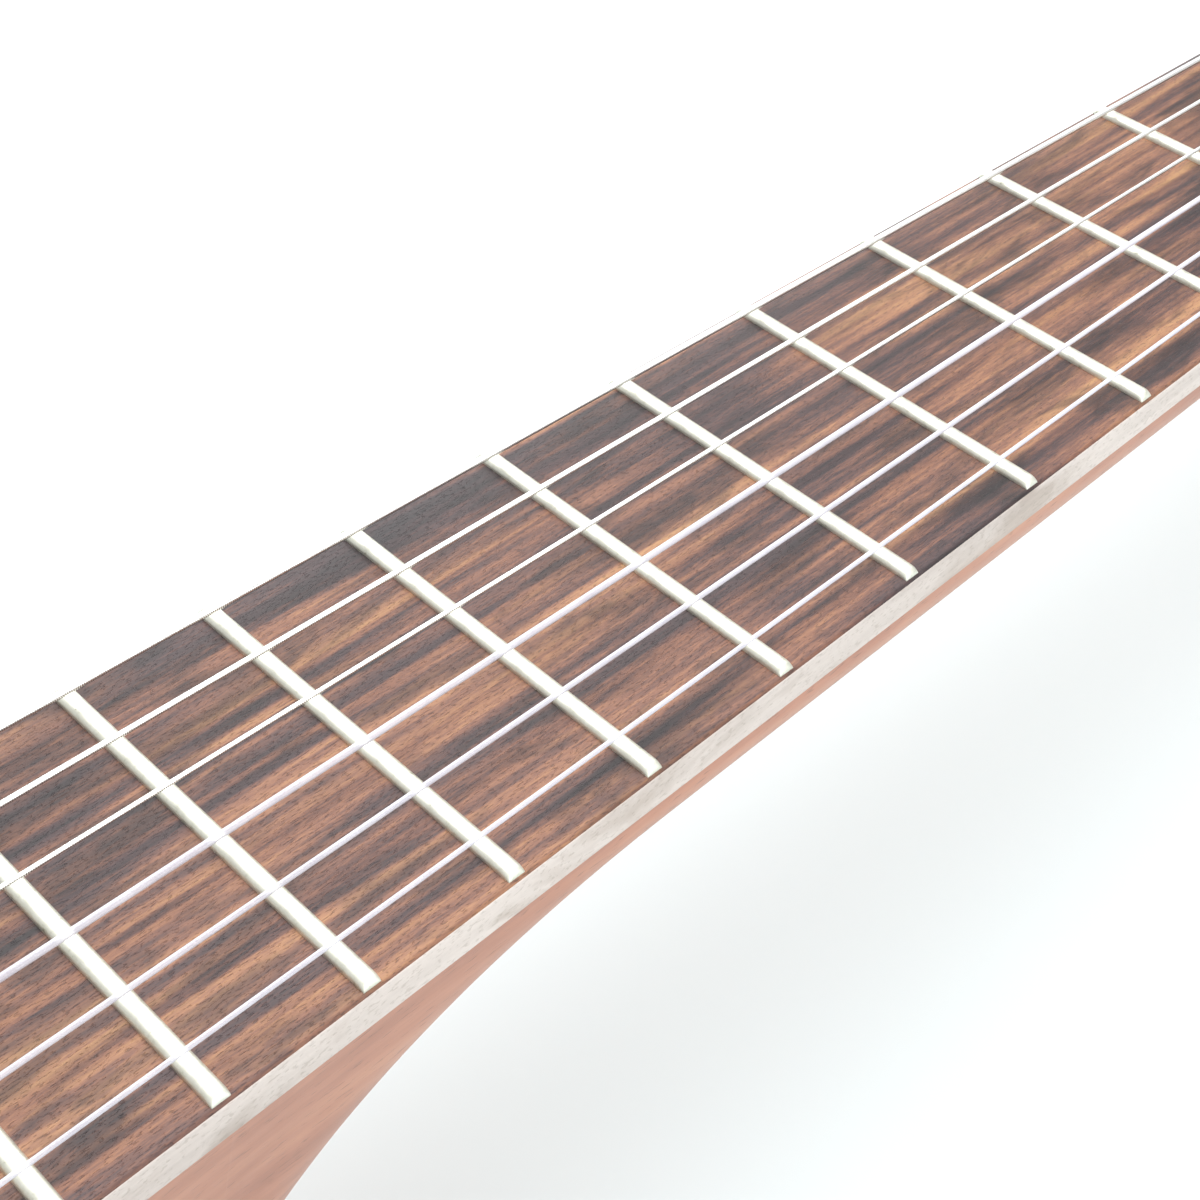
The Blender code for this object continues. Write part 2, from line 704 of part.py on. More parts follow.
def make_veneer(material, frame):
    lean = VENEER_THICKNESS * tan(HEAD_ANGLE)  # its end stands off the neck under the nut
    outline = [(max(x, lean), y) for x, y in head_outline()]
    veneer = make_object("headstock_veneer", *prism(outline, -VENEER_THICKNESS, 0), material, frame)
    combine(veneer, "DIFFERENCE", [prism(slot_outline(side), -0.01, 0.01) for side in (1, -1)])
    return shade_round(veneer)


def make_fretboard(material):
    """Side view with a slot for each fret, spread to the board's taper."""
    slot = FRET_TANG_WIDTH / 2 + GAP
    depth = FRET_TANG_DEPTH + GAP
    profile = [(0, BOARD_TOP_Z)]
    for number in range(1, FRET_COUNT + 1):
        place = fret_place(number)
        profile += [(place - slot, BOARD_TOP_Z), (place - slot, BOARD_TOP_Z - depth)]
        profile += [(place + slot, BOARD_TOP_Z - depth), (place + slot, BOARD_TOP_Z)]
    profile += [(BOARD_END, BOARD_TOP_Z), (BOARD_END, BOARD_Z), (0, BOARD_Z)]
    rings = [[(along(d), side * board_half_width(d), z) for d, z in profile] for side in (-1, 1)]
    return make_object("fretboard", *loft(rings), material)


def make_fret(number, material, frame):
    """Crown with rounded top and bevelled ends, over a tang that sits in the board's slot."""
    place = fret_place(number)
    half_length = board_half_width(place) - 0.0003
    half_crown = FRET_CROWN_WIDTH / 2
    half_tang = FRET_TANG_WIDTH / 2
    steps = [pi * i / 6 for i in range(7)]
    crown = [(half_crown * cos(a), FRET_CROWN_HEIGHT * sin(a) ** 0.8) for a in steps]
    crown[-1] = (-half_crown, 0.0)
    section = [(x, z + GAP) for x, z in crown]
    section += [(-half_tang, GAP), (-half_tang, -FRET_TANG_DEPTH)]
    section += [(half_tang, -FRET_TANG_DEPTH), (half_tang, GAP)]
    rings = []
    for end in (-1, 1):
        ring = []
        for x, z in section:
            back = FRET_END_BEVEL * max(0.0, z - GAP) / FRET_CROWN_HEIGHT
            ring.append((x, end * (half_length - back), z))
        rings.append(ring)
    item = make_object(f"fret_{number:02d}", *loft(rings), material, frame, (along(place), 0, BOARD_TOP_Z))
    return shade_round(item, 40)


def make_nut(material):
    """A block with a notch for each string."""
    half = NUT_WIDTH / 2
    low, high = BOARD_Z, BOARD_TOP_Z + NUT_RISE
    x0, x1 = along(-GAP), along(-NUT_THICKNESS)
    profile = [(-half, low), (half, low), (half, high)]
    for number in range(STRING_COUNT, 0, -1):
        spot = string_spot(number, 0)
        radius = STRING_DIAMETERS[number - 1] / 2 + GAP
        floor = spot.z - radius
        profile += [(spot.y + radius, high), (spot.y + radius, floor)]
        profile += [(spot.y - radius, floor), (spot.y - radius, high)]
    profile += [(-half, high)]
    back_drop = 0.0006  # the top slopes to the headstock
    rings = []
    for x, drop in ((x0, 0.0), (x1, back_drop)):
        rings.append([(x, y, z - (drop if z > BOARD_TOP_Z else 0)) for y, z in profile])
    return make_object("nut", *loft(rings), material)


# Bridge


def make_bridge(material):
    front = SADDLE_FROM_NUT - BRIDGE_AHEAD_OF_SADDLE
    back = front + BRIDGE_WIDTH
    base = TOP_Z + GAP
    ridge_back = front + SADDLE_RIDGE_WIDTH
    block_front = back - TIE_BLOCK_WIDTH
    half = TIE_BLOCK_LENGTH / 2
    slope, drop = WING_SHOULDER
    top, shoulder = base + WING_HEIGHT, base + WING_HEIGHT - drop
    wing = [(front, base), (back, base), (back, shoulder), (back - slope, top), (front + slope, top)]
    wing.append((front, shoulder))
    tip = BRIDGE_LENGTH / 2
    rings = [[(along(d), y, z) for d, z in wing] for y in (-tip, tip)]
    bridge = make_object("bridge", *loft(rings), material)
    ridge = [(front + 0.0004, base + 0.001), (front + 0.0004, base + SADDLE_RIDGE_HEIGHT - 0.0012)]
    ridge += [(front + 0.0018, base + SADDLE_RIDGE_HEIGHT), (ridge_back, base + SADDLE_RIDGE_HEIGHT)]
    ridge += [(ridge_back, base + TIE_CHANNEL_HEIGHT), (block_front, base + TIE_CHANNEL_HEIGHT)]
    ridge += [(block_front, base + TIE_BLOCK_HEIGHT), (back - 0.0012, base + TIE_BLOCK_HEIGHT)]
    ridge += [(back - 0.0002, base + TIE_BLOCK_HEIGHT - 0.001), (back - 0.0002, base + 0.001)]
    centre = loft([[(along(d), y, z) for d, z in ridge] for y in (-half, half)])
    combine(bridge, "UNION", [centre])
    x = along(SADDLE_FROM_NUT)
    slot_half = SADDLE_THICKNESS / 2 + GAP
    slot_end = SADDLE_LENGTH / 2 + GAP
    slot_floor = base + SADDLE_RIDGE_HEIGHT - SADDLE_SLOT_DEPTH
    slot = prism(rectangle(x - slot_half, x + slot_half, -slot_end, slot_end), slot_floor, base + 0.02)
    across = rectangle(along(block_front), along(ridge_back), -half - 0.001, half + 0.001)
    channel = prism(across, base + TIE_CHANNEL_HEIGHT, base + 0.02)
    holes = []
    for number in range(1, STRING_COUNT + 1):
        y = string_spot(number, SADDLE_FROM_NUT).y
        bore = turned([(-0.02, 0), (-0.02, TIE_HOLE_RADIUS), (0.02, TIE_HOLE_RADIUS), (0.02, 0)], 8)
        place = Matrix.Translation((along(back), y, base + TIE_HOLE_HEIGHT))
        holes.append(moved(bore, place @ turn_to((1, 0, 0))))
    trimmed = []
    for hole in holes:
        points, faces = hole
        limit = along(block_front) + 0.001
        trimmed.append(([Vector((min(p.x, limit), p.y, p.z)) for p in points], faces))
    combine(bridge, "DIFFERENCE", [slot, channel] + trimmed)
    return shade_round(bridge, 30)


def make_pickup(material):
    floor = TOP_Z + GAP + SADDLE_RIDGE_HEIGHT - SADDLE_SLOT_DEPTH + GAP
    x = along(SADDLE_FROM_NUT)
    half = SADDLE_THICKNESS / 2 - 0.0001
    outline = rectangle(x - half, x + half, -SADDLE_LENGTH / 2, SADDLE_LENGTH / 2)
    return make_object("saddle_pickup", *prism(outline, floor, floor + PICKUP_THICKNESS), material)


def make_saddle(material):
    """Stands on the pickup strip, with a rounded top under the strings."""
    foot = TOP_Z + 2 * GAP + SADDLE_RIDGE_HEIGHT - SADDLE_SLOT_DEPTH + PICKUP_THICKNESS + GAP
    top = string_spot(STRING_COUNT, SADDLE_FROM_NUT).z - max(STRING_DIAMETERS) / 2 - GAP
    half = SADDLE_THICKNESS / 2
    section = [(-half, foot), (half, foot)]
    steps = [pi * i / 6 for i in range(7)]
    section += [(half * cos(a), top - half + half * sin(a)) for a in steps]
    x = along(SADDLE_FROM_NUT)
    ends = (-SADDLE_LENGTH / 2, SADDLE_LENGTH / 2)
    rings = [[(x + dx, y, z) for dx, z in section] for y in ends]
    return shade_round(make_object("saddle", *loft(rings), material))


# Strings


def string_tie(number):
    """Over the saddle, through the tie block, back over it and once round the string itself."""
    radius = STRING_DIAMETERS[number - 1] / 2
    base = TOP_Z + GAP
    back = SADDLE_FROM_NUT - BRIDGE_AHEAD_OF_SADDLE + BRIDGE_WIDTH
    front = back - TIE_BLOCK_WIDTH
    hole = base + TIE_HOLE_HEIGHT
    top = base + TIE_BLOCK_HEIGHT + GAP + radius
    apart = 2 * radius + 0.0006
    saddle = string_spot(number, SADDLE_FROM_NUT)
    crossing = front - 0.0026
    fall = (saddle.z - hole) / (front - 0.0006 - SADDLE_FROM_NUT)
    under = saddle.z - fall * (crossing - SADDLE_FROM_NUT) - 1.35 * apart
    route = [
        (back - 0.0045, -0.95 * apart, top),
        (front + 0.0010, -1.05 * apart, top + 0.0001),
        (front - 0.0008, -1.10 * apart, top - 0.0004),
        (front - 0.0020, -1.10 * apart, (top + under) / 2),
        (crossing, -0.80 * apart, under),
        (crossing, 0.80 * apart, under),
        (front - 0.0020, 1.10 * apart, (top + under) / 2),
        (front - 0.0008, 1.10 * apart, top - 0.0004),
        (front + 0.0010, 1.00 * apart, top + 0.0001),
        (back - 0.0004, 0.45 * apart, top + 0.0001),
        (back + 0.0013, 0.30 * apart, top - 0.0012),
        (back + 0.0014, 0.05 * apart, hole + 0.0008),
        (back + 0.0002, 0.0, hole),
        (front - 0.0006, 0.0, hole),
    ]
    past_crown = Vector((saddle.x - 0.0005, saddle.y, saddle.z))
    return [Vector((along(d), saddle.y + y, z)) for d, y, z in route] + [past_crown]


def string_winding(number):
    """From the nut's rear edge down to the roller and round it; gives points and the self gap."""
    diameter = STRING_DIAMETERS[number - 1]
    _, x, side = roller_places()[number - 1]
    rank = round((x - FIRST_ROLLER) / ROLLER_SPACING)
    leave = HEAD_FRAME.inverted() @ string_spot(number, -NUT_THICKNESS - 0.0004)
    slot_middle = (HEAD_RIB_WIDTH + SLOT_WIDTH) / 2
    first = slot_middle + WINDING_STARTS[rank]
    outward = -1 if rank == 0 else 1
    radius = (ROLLER_RADIUS + GAP + diameter / 2) / cos(pi / WINDING_STEPS)
    run, rise = leave.x - x, leave.z + ROLLER_DEPTH
    begin = atan2(rise, run) - acos(radius / hypot(run, rise))
    pitch = diameter + WINDING_GAP
    points = [leave]
    for i in range(WINDING_TURNS * WINDING_STEPS + 1):
        a = begin - 2 * pi * i / WINDING_STEPS
        y = side * (first + outward * pitch * i / WINDING_STEPS)
        points.append(Vector((x + radius * cos(a), y, -ROLLER_DEPTH + radius * sin(a))))
    self_gap = pitch * cos(atan2(pitch, 2 * pi * radius)) - diameter
    return [HEAD_FRAME @ point for point in points], self_gap


def make_string(number, material, frame):
    winding, self_gap = string_winding(number)
    print(f"string {number}: turns on the roller are {self_gap * 1000:.2f} mm apart")
    points = string_tie(number) + [string_spot(number, 0)] + winding
    curve = bpy.data.curves.new(f"string_{number}", "CURVE")
    curve.dimensions = "3D"
    curve.bevel_depth = STRING_DIAMETERS[number - 1] / 2
    curve.bevel_resolution = 1
    curve.use_fill_caps = True
    spline = curve.splines.new("POLY")
    spline.points.add(len(points) - 1)
    for spot, point in zip(spline.points, points):
        spot.co = (*point, 1)
    curve.materials.append(material)
    item = bpy.data.objects.new(f"string_{number}", curve)
    bpy.context.collection.objects.link(item)
    item.parent = frame
    return item


# Tuning machines

PLATE_OUTER = HEAD_WIDTH / 2 + GAP + PLATE_THICKNESS
WORM_TIP_RADIUS = WORM_PITCH_RADIUS + TOOTH_ADDENDUM
WORM_Y = PLATE_OUTER + GAP + WORM_TIP_RADIUS
WORM_SPACING = GEAR_PITCH_RADIUS + WORM_PITCH_RADIUS
TOOTH_PITCH = 2 * pi * GEAR_PITCH_RADIUS / GEAR_TEETH
TOOTH_HALF = TOOTH_PITCH / 4 - TOOTH_BACKLASH / 2
FLANK = tan(radians(20))
THREAD_HALF = WORM_TURNS / 2 * TOOTH_PITCH + TOOTH_HALF + FLANK * TOOTH_DEDENDUM
EAR_INNER = THREAD_HALF + GAP


def mirrored(solid, side):
    points, faces = solid
    return [Vector((x, y * side, z)) for x, y, z in points], faces


def gear_teeth():
    """Teeth about +Y, slanted to match the worm, with a gap facing the worm at -X."""
    tip = GEAR_PITCH_RADIUS + TOOTH_ADDENDUM
    root = GEAR_PITCH_RADIUS - TOOTH_DEDENDUM
    half_tip = TOOTH_HALF - FLANK * TOOTH_ADDENDUM
    half_root = TOOTH_HALF + FLANK * TOOTH_DEDENDUM
    lead = TOOTH_PITCH / (2 * pi * WORM_PITCH_RADIUS)
    rings = []
    for y in (-GEAR_WIDTH / 2, GEAR_WIDTH / 2):
        twist = y * lead / GEAR_PITCH_RADIUS
        ring = []
        for tooth in range(GEAR_TEETH):
            middle = 2 * pi * (tooth + 0.5) / GEAR_TEETH + twist
            corners = ((root, -half_root), (tip, -half_tip), (tip, half_tip), (root, half_root))
            for radius, half in corners:
                a = middle + half / GEAR_PITCH_RADIUS
                ring.append((-radius * cos(a), WORM_Y + y, radius * sin(a)))
        rings.append(ring)
    return loft(rings)


def make_roller(number, x, side, material, frame):
    """Roller, axle and gear in one, turning about the headstock's Y."""
    inner = HEAD_RIB_WIDTH / 2 - JOURNAL_LENGTH
    seat = HEAD_WIDTH / 2
    cap = WORM_Y + GEAR_WIDTH / 2 + GEAR_CAP
    profile = [(inner, 0), (inner, ROLLER_RADIUS), (seat, ROLLER_RADIUS), (seat, AXLE_RADIUS)]
    profile += [(cap, AXLE_RADIUS), (cap, 0)]
    to_y = Matrix.Rotation(-pi / 2, 4, "X")
    body = moved(turned(profile, 12), to_y)
    place = (x, 0, -ROLLER_DEPTH)
    item = make_object(f"tuner_roller_{number}", *mirrored(body, side), material, frame, place)
    teeth = mirrored(gear_teeth(), side)
    rank = round((x - FIRST_ROLLER) / ROLLER_SPACING)
    hole_y = (HEAD_RIB_WIDTH + SLOT_WIDTH) / 2 + STRING_HOLE_OFFSETS[rank]
    ends = 2 * ROLLER_RADIUS
    hole = turned([(-ends, 0), (-ends, STRING_HOLE_RADIUS), (ends, STRING_HOLE_RADIUS), (ends, 0)], 6)
    combine(item, "UNION", [teeth])
    combine(item, "DIFFERENCE", [moved(hole, Matrix.Translation((0, side * hole_y, 0)))])
    return shade_round(item)


def worm_thread(steps=8):
    """A right-hand ridge round +Z, with a crest facing +X at Z = 0."""
    inner = WORM_PITCH_RADIUS - TOOTH_DEDENDUM - 0.0002
    half_tip = TOOTH_HALF - FLANK * TOOTH_ADDENDUM
    half_root = TOOTH_HALF + FLANK * (TOOTH_DEDENDUM + 0.0002)
    section = ((inner, -half_root), (WORM_TIP_RADIUS, -half_tip))
    section += ((WORM_TIP_RADIUS, half_tip), (inner, half_root))
    count = round(WORM_TURNS * steps / 2)
    rings = []
    for i in range(-count, count + 1):
        a = 2 * pi * i / steps
        z = TOOTH_PITCH * i / steps
        ring = []
        for radius, offset in section:
            ring.append((radius * cos(a), radius * sin(a), z + offset))
        rings.append(ring)
    return loft(rings)


def make_tuner_knob(number, x, side, material, frame):
    """Worm, shaft and button in one, turning about the headstock's Z."""
    collar = EAR_INNER + EAR_THICKNESS + GAP
    drop = BUTTON_DROP - BUTTON_SIZE[2]
    profile = [(-drop - 0.004, 0), (-drop - 0.004, 0.0026), (-drop + 0.004, SHAFT_RADIUS)]
    profile += [(-collar - COLLAR_THICKNESS, SHAFT_RADIUS), (-collar - COLLAR_THICKNESS, COLLAR_RADIUS)]
    profile += [(-collar, COLLAR_RADIUS), (-collar, SHAFT_RADIUS)]
    profile += [(collar, SHAFT_RADIUS), (collar, COLLAR_RADIUS - 0.0002)]
    profile += [(collar + 0.0009, COLLAR_RADIUS - 0.0002), (collar + 0.0009, 0)]
    place = (x - WORM_SPACING, side * WORM_Y, -ROLLER_DEPTH)
    shaft = moved(turned(profile, 8), Matrix.Rotation(radians(9), 4, "Z"))
    item = make_object(f"tuner_button_{number}", *mirrored(shaft, side), material, frame, place)
    arc = [(-cos(pi * i / 5), sin(pi * i / 5) ** 0.8 if 0 < i < 5 else 0) for i in range(6)]
    size = Matrix.Diagonal((BUTTON_SIZE[0], BUTTON_SIZE[1], BUTTON_SIZE[2], 1))
    button = moved(turned(arc, 10), Matrix.Translation((0, 0, -BUTTON_DROP)) @ size)
    combine(item, "UNION", [mirrored(worm_thread(), side), mirrored(button, side)])
    return shade_round(item, 55)


def make_tuner_plate(name, side, material, frame):
    """Side plate with an axle hole and two bearing ears for each tuner."""
    worms = [x - WORM_SPACING for _, x, s in roller_places() if s == side]
    start, end = min(worms) - PLATE_MARGIN / 2, max(worms) + WORM_SPACING + PLATE_MARGIN
    half = PLATE_WIDTH / 2
    clip = PLATE_CORNER
    outline = [(start + clip, -half), (end - clip, -half), (end, -half + clip), (end, half - clip)]
    outline += [(end - clip, half), (start + clip, half), (start, half - clip), (start, -half + clip)]
    rings = [[(x, y, z) for x, z in outline] for y in (HEAD_WIDTH / 2 + GAP, PLATE_OUTER)]
    plate = make_object(name, *mirrored(loft(rings), side), material, frame, (0, 0, -ROLLER_DEPTH))
    reach = WORM_Y + SHAFT_RADIUS + EAR_REACH
    ear_half = SHAFT_RADIUS + EAR_MARGIN
    ears, holes = [], []
    for x in worms:
        for low in (EAR_INNER, -EAR_INNER - EAR_THICKNESS):
            y0 = PLATE_OUTER - PLATE_THICKNESS / 2
            shape = [(x - ear_half, y0), (x + ear_half, y0), (x + ear_half, reach - EAR_CORNER)]
            shape += [(x + ear_half - EAR_CORNER, reach), (x - ear_half + EAR_CORNER, reach)]
            shape.append((x - ear_half, reach - EAR_CORNER))
            ears.append(mirrored(prism(shape, low, low + EAR_THICKNESS), side))
        shaft_hole = prism(circle(SHAFT_RADIUS + GAP, 9, x, side * WORM_Y), -0.02, 0.02)
        axle = turned([(0, 0), (0, AXLE_RADIUS + GAP), (0.06, AXLE_RADIUS + GAP), (0.06, 0)], 12)
        axle = moved(axle, Matrix.Translation((x + WORM_SPACING, 0, 0)) @ turn_to((0, side, 0)))
        holes += [shaft_hole, axle]
    combine(plate, "UNION", ears)
    combine(plate, "DIFFERENCE", holes)
    return shade_round(plate)


# Electronics


def outline_y(x):
    """Bass-side outline at x."""
    for one, two in zip(OUTLINE, OUTLINE[1:]):
        if one[1] > 0 and two[1] > 0 and two[0] <= x <= one[0] and one[0] != two[0]:
            return one[1] + (x - one[0]) / (two[0] - one[0]) * (two[1] - one[1])
    return WAIST / 2


def panel_frame():
    """On the bass side between upper bout and waist: X tailward, Y up, Z outward."""
    middle = along(JOINT_FROM_NUT + PANEL_FROM_JOINT)
    reach = PANEL_LENGTH / 2
    head = Vector((middle + reach, outline_y(middle + reach), 0))
    tail = Vector((middle - reach, outline_y(middle - reach), 0))
    tangent = (tail - head).normalized()
    outward = Vector((0, 0, 1)).cross(tangent) * -1
    if outward.y < 0:
        outward = -outward
    lift = 0.0
    for i in range(1, 20):
        x = tail.x + (head.x - tail.x) * i / 20
        lift = max(lift, (Vector((x, outline_y(x), 0)) - head).dot(outward))
    centre = (head + tail) / 2 + outward * (lift + GAP)
    frame = Matrix.Identity(4)
    up = outward.cross(tangent)
    for row in range(3):
        frame[row][0], frame[row][1], frame[row][2] = tangent[row], up[row], outward[row]
    return Matrix.Translation((centre.x, centre.y, MID_Z)) @ frame


PANEL_FRAME = panel_frame()
DOOR_AXIS_X = PANEL_LENGTH / 2 - DOOR_AXIS_FROM_END
DOOR_HALF_HEIGHT = BATTERY_BAY_HEIGHT / 2 + DOOR_LAP
DOOR_RADIUS = DOOR_THICKNESS / 2
DOOR_AXIS_Z = PANEL_THICKNESS - DOOR_SINK - DOOR_RADIUS
DOOR_REACH = BATTERY_BAY_LENGTH + DOOR_END_LAP
BAY_X = DOOR_AXIS_X - BAY_FROM_AXIS - BATTERY_BAY_LENGTH / 2
KNOB_X = -PANEL_LENGTH / 2 + KNOB_FROM_END


def block(x0, x1, y0, y1, z0, z1):
    return prism(rectangle(x0, x1, y0, y1), z0, z1)


def housing_box(grow, above):
    half_x = PANEL_LENGTH / 2 - HOUSING_INSET + grow
    half_y = PANEL_HEIGHT / 2 - HOUSING_INSET + grow
    return moved(block(-half_x, half_x, -half_y, half_y, -HOUSING_DEPTH - grow, above), PANEL_FRAME)


def knob_places():
    return [(KNOB_X, (1 - i) * KNOB_SPACING) for i in range(3)]


def make_preamp(material, frame):
    """Flanged panel over a housing with a battery bay, a door recess and three shaft holes."""
    half_x, half_y, corner = PANEL_LENGTH / 2, PANEL_HEIGHT / 2, PANEL_CORNER
    outline = []
    for sx, sy, start in ((1, 1, 0), (-1, 1, 90), (-1, -1, 180), (1, -1, 270)):
        for step in (0, 30, 60, 90):
            a = radians(start + step)
            x, y = sx * (half_x - corner), sy * (half_y - corner)
            outline.append((x + corner * cos(a), y + corner * sin(a)))
    unit = make_object("preamp_unit", *prism(outline, 0, PANEL_THICKNESS), material, frame)
    body = block(-half_x + HOUSING_INSET, half_x - HOUSING_INSET, -half_y + HOUSING_INSET,
                 half_y - HOUSING_INSET, -HOUSING_DEPTH, PANEL_THICKNESS / 2)
    combine(unit, "UNION", [body])
    bay = block(BAY_X - BATTERY_BAY_LENGTH / 2, BAY_X + BATTERY_BAY_LENGTH / 2, -BATTERY_BAY_HEIGHT / 2,
                BATTERY_BAY_HEIGHT / 2, PANEL_THICKNESS - BATTERY_BAY_DEPTH, 0.01)
    play = DOOR_PLAY
    recess = block(DOOR_AXIS_X - DOOR_REACH - play, DOOR_AXIS_X + DOOR_RADIUS + play,
                   -DOOR_HALF_HEIGHT - play, DOOR_HALF_HEIGHT + play,
                   DOOR_AXIS_Z - DOOR_RADIUS - GAP, 0.01)
    pins = DOOR_HALF_HEIGHT + HINGE_PIN_LENGTH + GAP
    radius = HINGE_PIN_RADIUS + GAP
    hinge = turned([(-pins, 0), (-pins, radius), (pins, radius), (pins, 0)], 10)
    hinge = moved(hinge, Matrix.Translation((DOOR_AXIS_X, 0, DOOR_AXIS_Z)) @ turn_to((0, 1, 0)))
    radius = KNOB_SHAFT_RADIUS + GAP
    shafts = [prism(circle(radius, 12, x, y), -0.004, 0.01) for x, y in knob_places()]
    combine(unit, "DIFFERENCE", [bay, recess, hinge] + shafts)
    return shade_round(unit)


def make_battery_door(material, frame):
    """Turns about its rounded edge on two pins; the other edge swings out."""
    arc = [(DOOR_RADIUS * cos(a), DOOR_RADIUS * sin(a)) for a in [pi / 2 - pi * i / 6 for i in range(7)]]
    section = arc + [(-DOOR_REACH, -DOOR_RADIUS), (-DOOR_REACH, DOOR_RADIUS)]
    rings = [[(x, y, z) for x, z in section] for y in (-DOOR_HALF_HEIGHT, DOOR_HALF_HEIGHT)]
    door = make_object("battery_door", *loft(rings), material, frame, (DOOR_AXIS_X, 0, DOOR_AXIS_Z))
    pins = DOOR_HALF_HEIGHT + HINGE_PIN_LENGTH
    pin = turned([(-pins, 0), (-pins, HINGE_PIN_RADIUS), (pins, HINGE_PIN_RADIUS), (pins, 0)], 10)
    combine(door, "UNION", [moved(pin, turn_to((0, 1, 0)))])
    return shade_round(door)


def make_preamp_knob(name, x, y, material, frame):
    profile = [(-KNOB_SHAFT_LENGTH, 0), (-KNOB_SHAFT_LENGTH, KNOB_SHAFT_RADIUS)]
    profile += [(GAP, KNOB_SHAFT_RADIUS), (GAP, KNOB_RADIUS)]
    profile += [(KNOB_HEIGHT * 0.25, KNOB_RADIUS), (KNOB_HEIGHT - 0.0008, KNOB_RADIUS * 0.84)]
    profile += [(KNOB_HEIGHT, KNOB_RADIUS * 0.72), (KNOB_HEIGHT, 0)]
    knob = make_object(name, *turned(profile, 12), material, frame, (x, y, PANEL_THICKNESS))
    pointer = block(KNOB_RADIUS * 0.2, KNOB_RADIUS * 1.2, -0.0004, 0.0004,
                    KNOB_HEIGHT - 0.0007, KNOB_HEIGHT + 0.001)
    combine(knob, "DIFFERENCE", [pointer])
    return shade_round(knob)


JACK_FRAME = Matrix.Translation((along(TAIL_FROM_NUT), 0, MID_Z)) @ turn_to((-1, 0, 0))


def jack_barrel_hole():
    radius = JACK_BARREL_RADIUS + GAP
    return moved(turned([(-0.1, 0), (-0.1, radius), (0.1, radius), (0.1, 0)], 12), JACK_FRAME)


def make_jack(material, frame):
    """End-pin jack: strap flange outside, threaded barrel through the end block, nut inside."""
    block_face = LINED_WALL + LINING_WIDTH + BLOCK_THICKNESS + GAP
    length = max(JACK_BARREL_LENGTH, block_face + 2 * JACK_NUT_THICKNESS)
    barrel, flange, out = JACK_BARREL_RADIUS, JACK_FLANGE_RADIUS, JACK_OUT
    profile = [(-length, 0), (-length, barrel), (-block_face - JACK_NUT_THICKNESS, barrel)]
    profile += [(-block_face - JACK_NUT_THICKNESS, flange - 0.0005), (-block_face, flange - 0.0005)]
    profile.append((-block_face, barrel))
    profile += [(GAP, barrel), (GAP, flange), (0.0022, flange), (0.0032, barrel), (out - 0.0040, barrel)]
    profile += [(out - 0.0026, flange - 0.0006), (out - 0.0006, flange - 0.0006), (out, flange - 0.0014)]
    profile += [(out, JACK_BORE_RADIUS), (out - JACK_BORE_DEPTH, JACK_BORE_RADIUS)]
    profile.append((out - JACK_BORE_DEPTH, 0))
    return shade_round(make_object("output_jack", *turned(profile, 12), material, frame))


def main():
    clear_scene()
    spruce = make_material("spruce", "d9b47c", 0.38)
    rosewood = make_material("rosewood", "6b4334", 0.5)
    mahogany = make_material("mahogany", "b97a58", 0.5)
    bone = make_material("bone", "ece4d2", 0.4)
    lime = make_material("lime_wood", "c9a779", 0.6)
    nickel = make_material("nickel_silver", "d8d3c8", 0.25, 1.0)
    brass = make_material("brass", "c2a05a", 0.3, 1.0)
    nylon = make_material("nylon", "d6d2dc", 0.2)
    silver = make_material("silver_winding", "dcdcda", 0.25, 1.0)
    pearl = make_material("button_plastic", "ece7da", 0.25)
    black = make_material("black_plastic", "1c1c1d", 0.45)
    binding = make_material("binding_wood", "4a2d22", 0.45)
    inlay = make_material("rosette_inlay", "8a6642", 0.4)

    head = make_frame("headstock_frame", HEAD_FRAME)
    panel = make_frame("panel_frame", PANEL_FRAME)
    jack = make_frame("jack_frame", JACK_FRAME)

    make_soundboard(spruce)
    make_back(rosewood)
    make_sides(rosewood)
    make_binding("top_binding", TOP_Z - BINDING_HEIGHT, TOP_Z, binding)
    make_binding("back_binding", 0, BINDING_HEIGHT, binding)
    make_rosette(inlay)
    make_neck_block(lime)
    make_end_block(lime)
    make_neck(mahogany)
    make_veneer(rosewood, head)
    make_fretboard(rosewood)
    for number in range(1, FRET_COUNT + 1):
        make_fret(number, nickel, None)
    make_nut(bone)
    make_bridge(rosewood)
    make_pickup(nickel)
    make_saddle(bone)
    for number in range(1, STRING_COUNT + 1):
        make_string(number, nylon if number < 4 else silver, None)
    for number, x, side in roller_places():
        make_roller(number, x, side, brass, head)
        make_tuner_knob(number, x, side, pearl, head)
    make_tuner_plate("tuner_plate_treble", -1, brass, head)
    make_tuner_plate("tuner_plate_bass", 1, brass, head)
    make_preamp(black, panel)
    make_battery_door(black, panel)
    for (x, y), name in zip(knob_places(), ("volume_knob", "treble_knob", "bass_knob")):
        make_preamp_knob(name, x, y, black, panel)
    make_jack(nickel, jack)


main()
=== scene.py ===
import json
from math import acos, atan2, cos, hypot, pi, radians, sin, tan

import bmesh
import bpy
from mathutils import Matrix, Vector


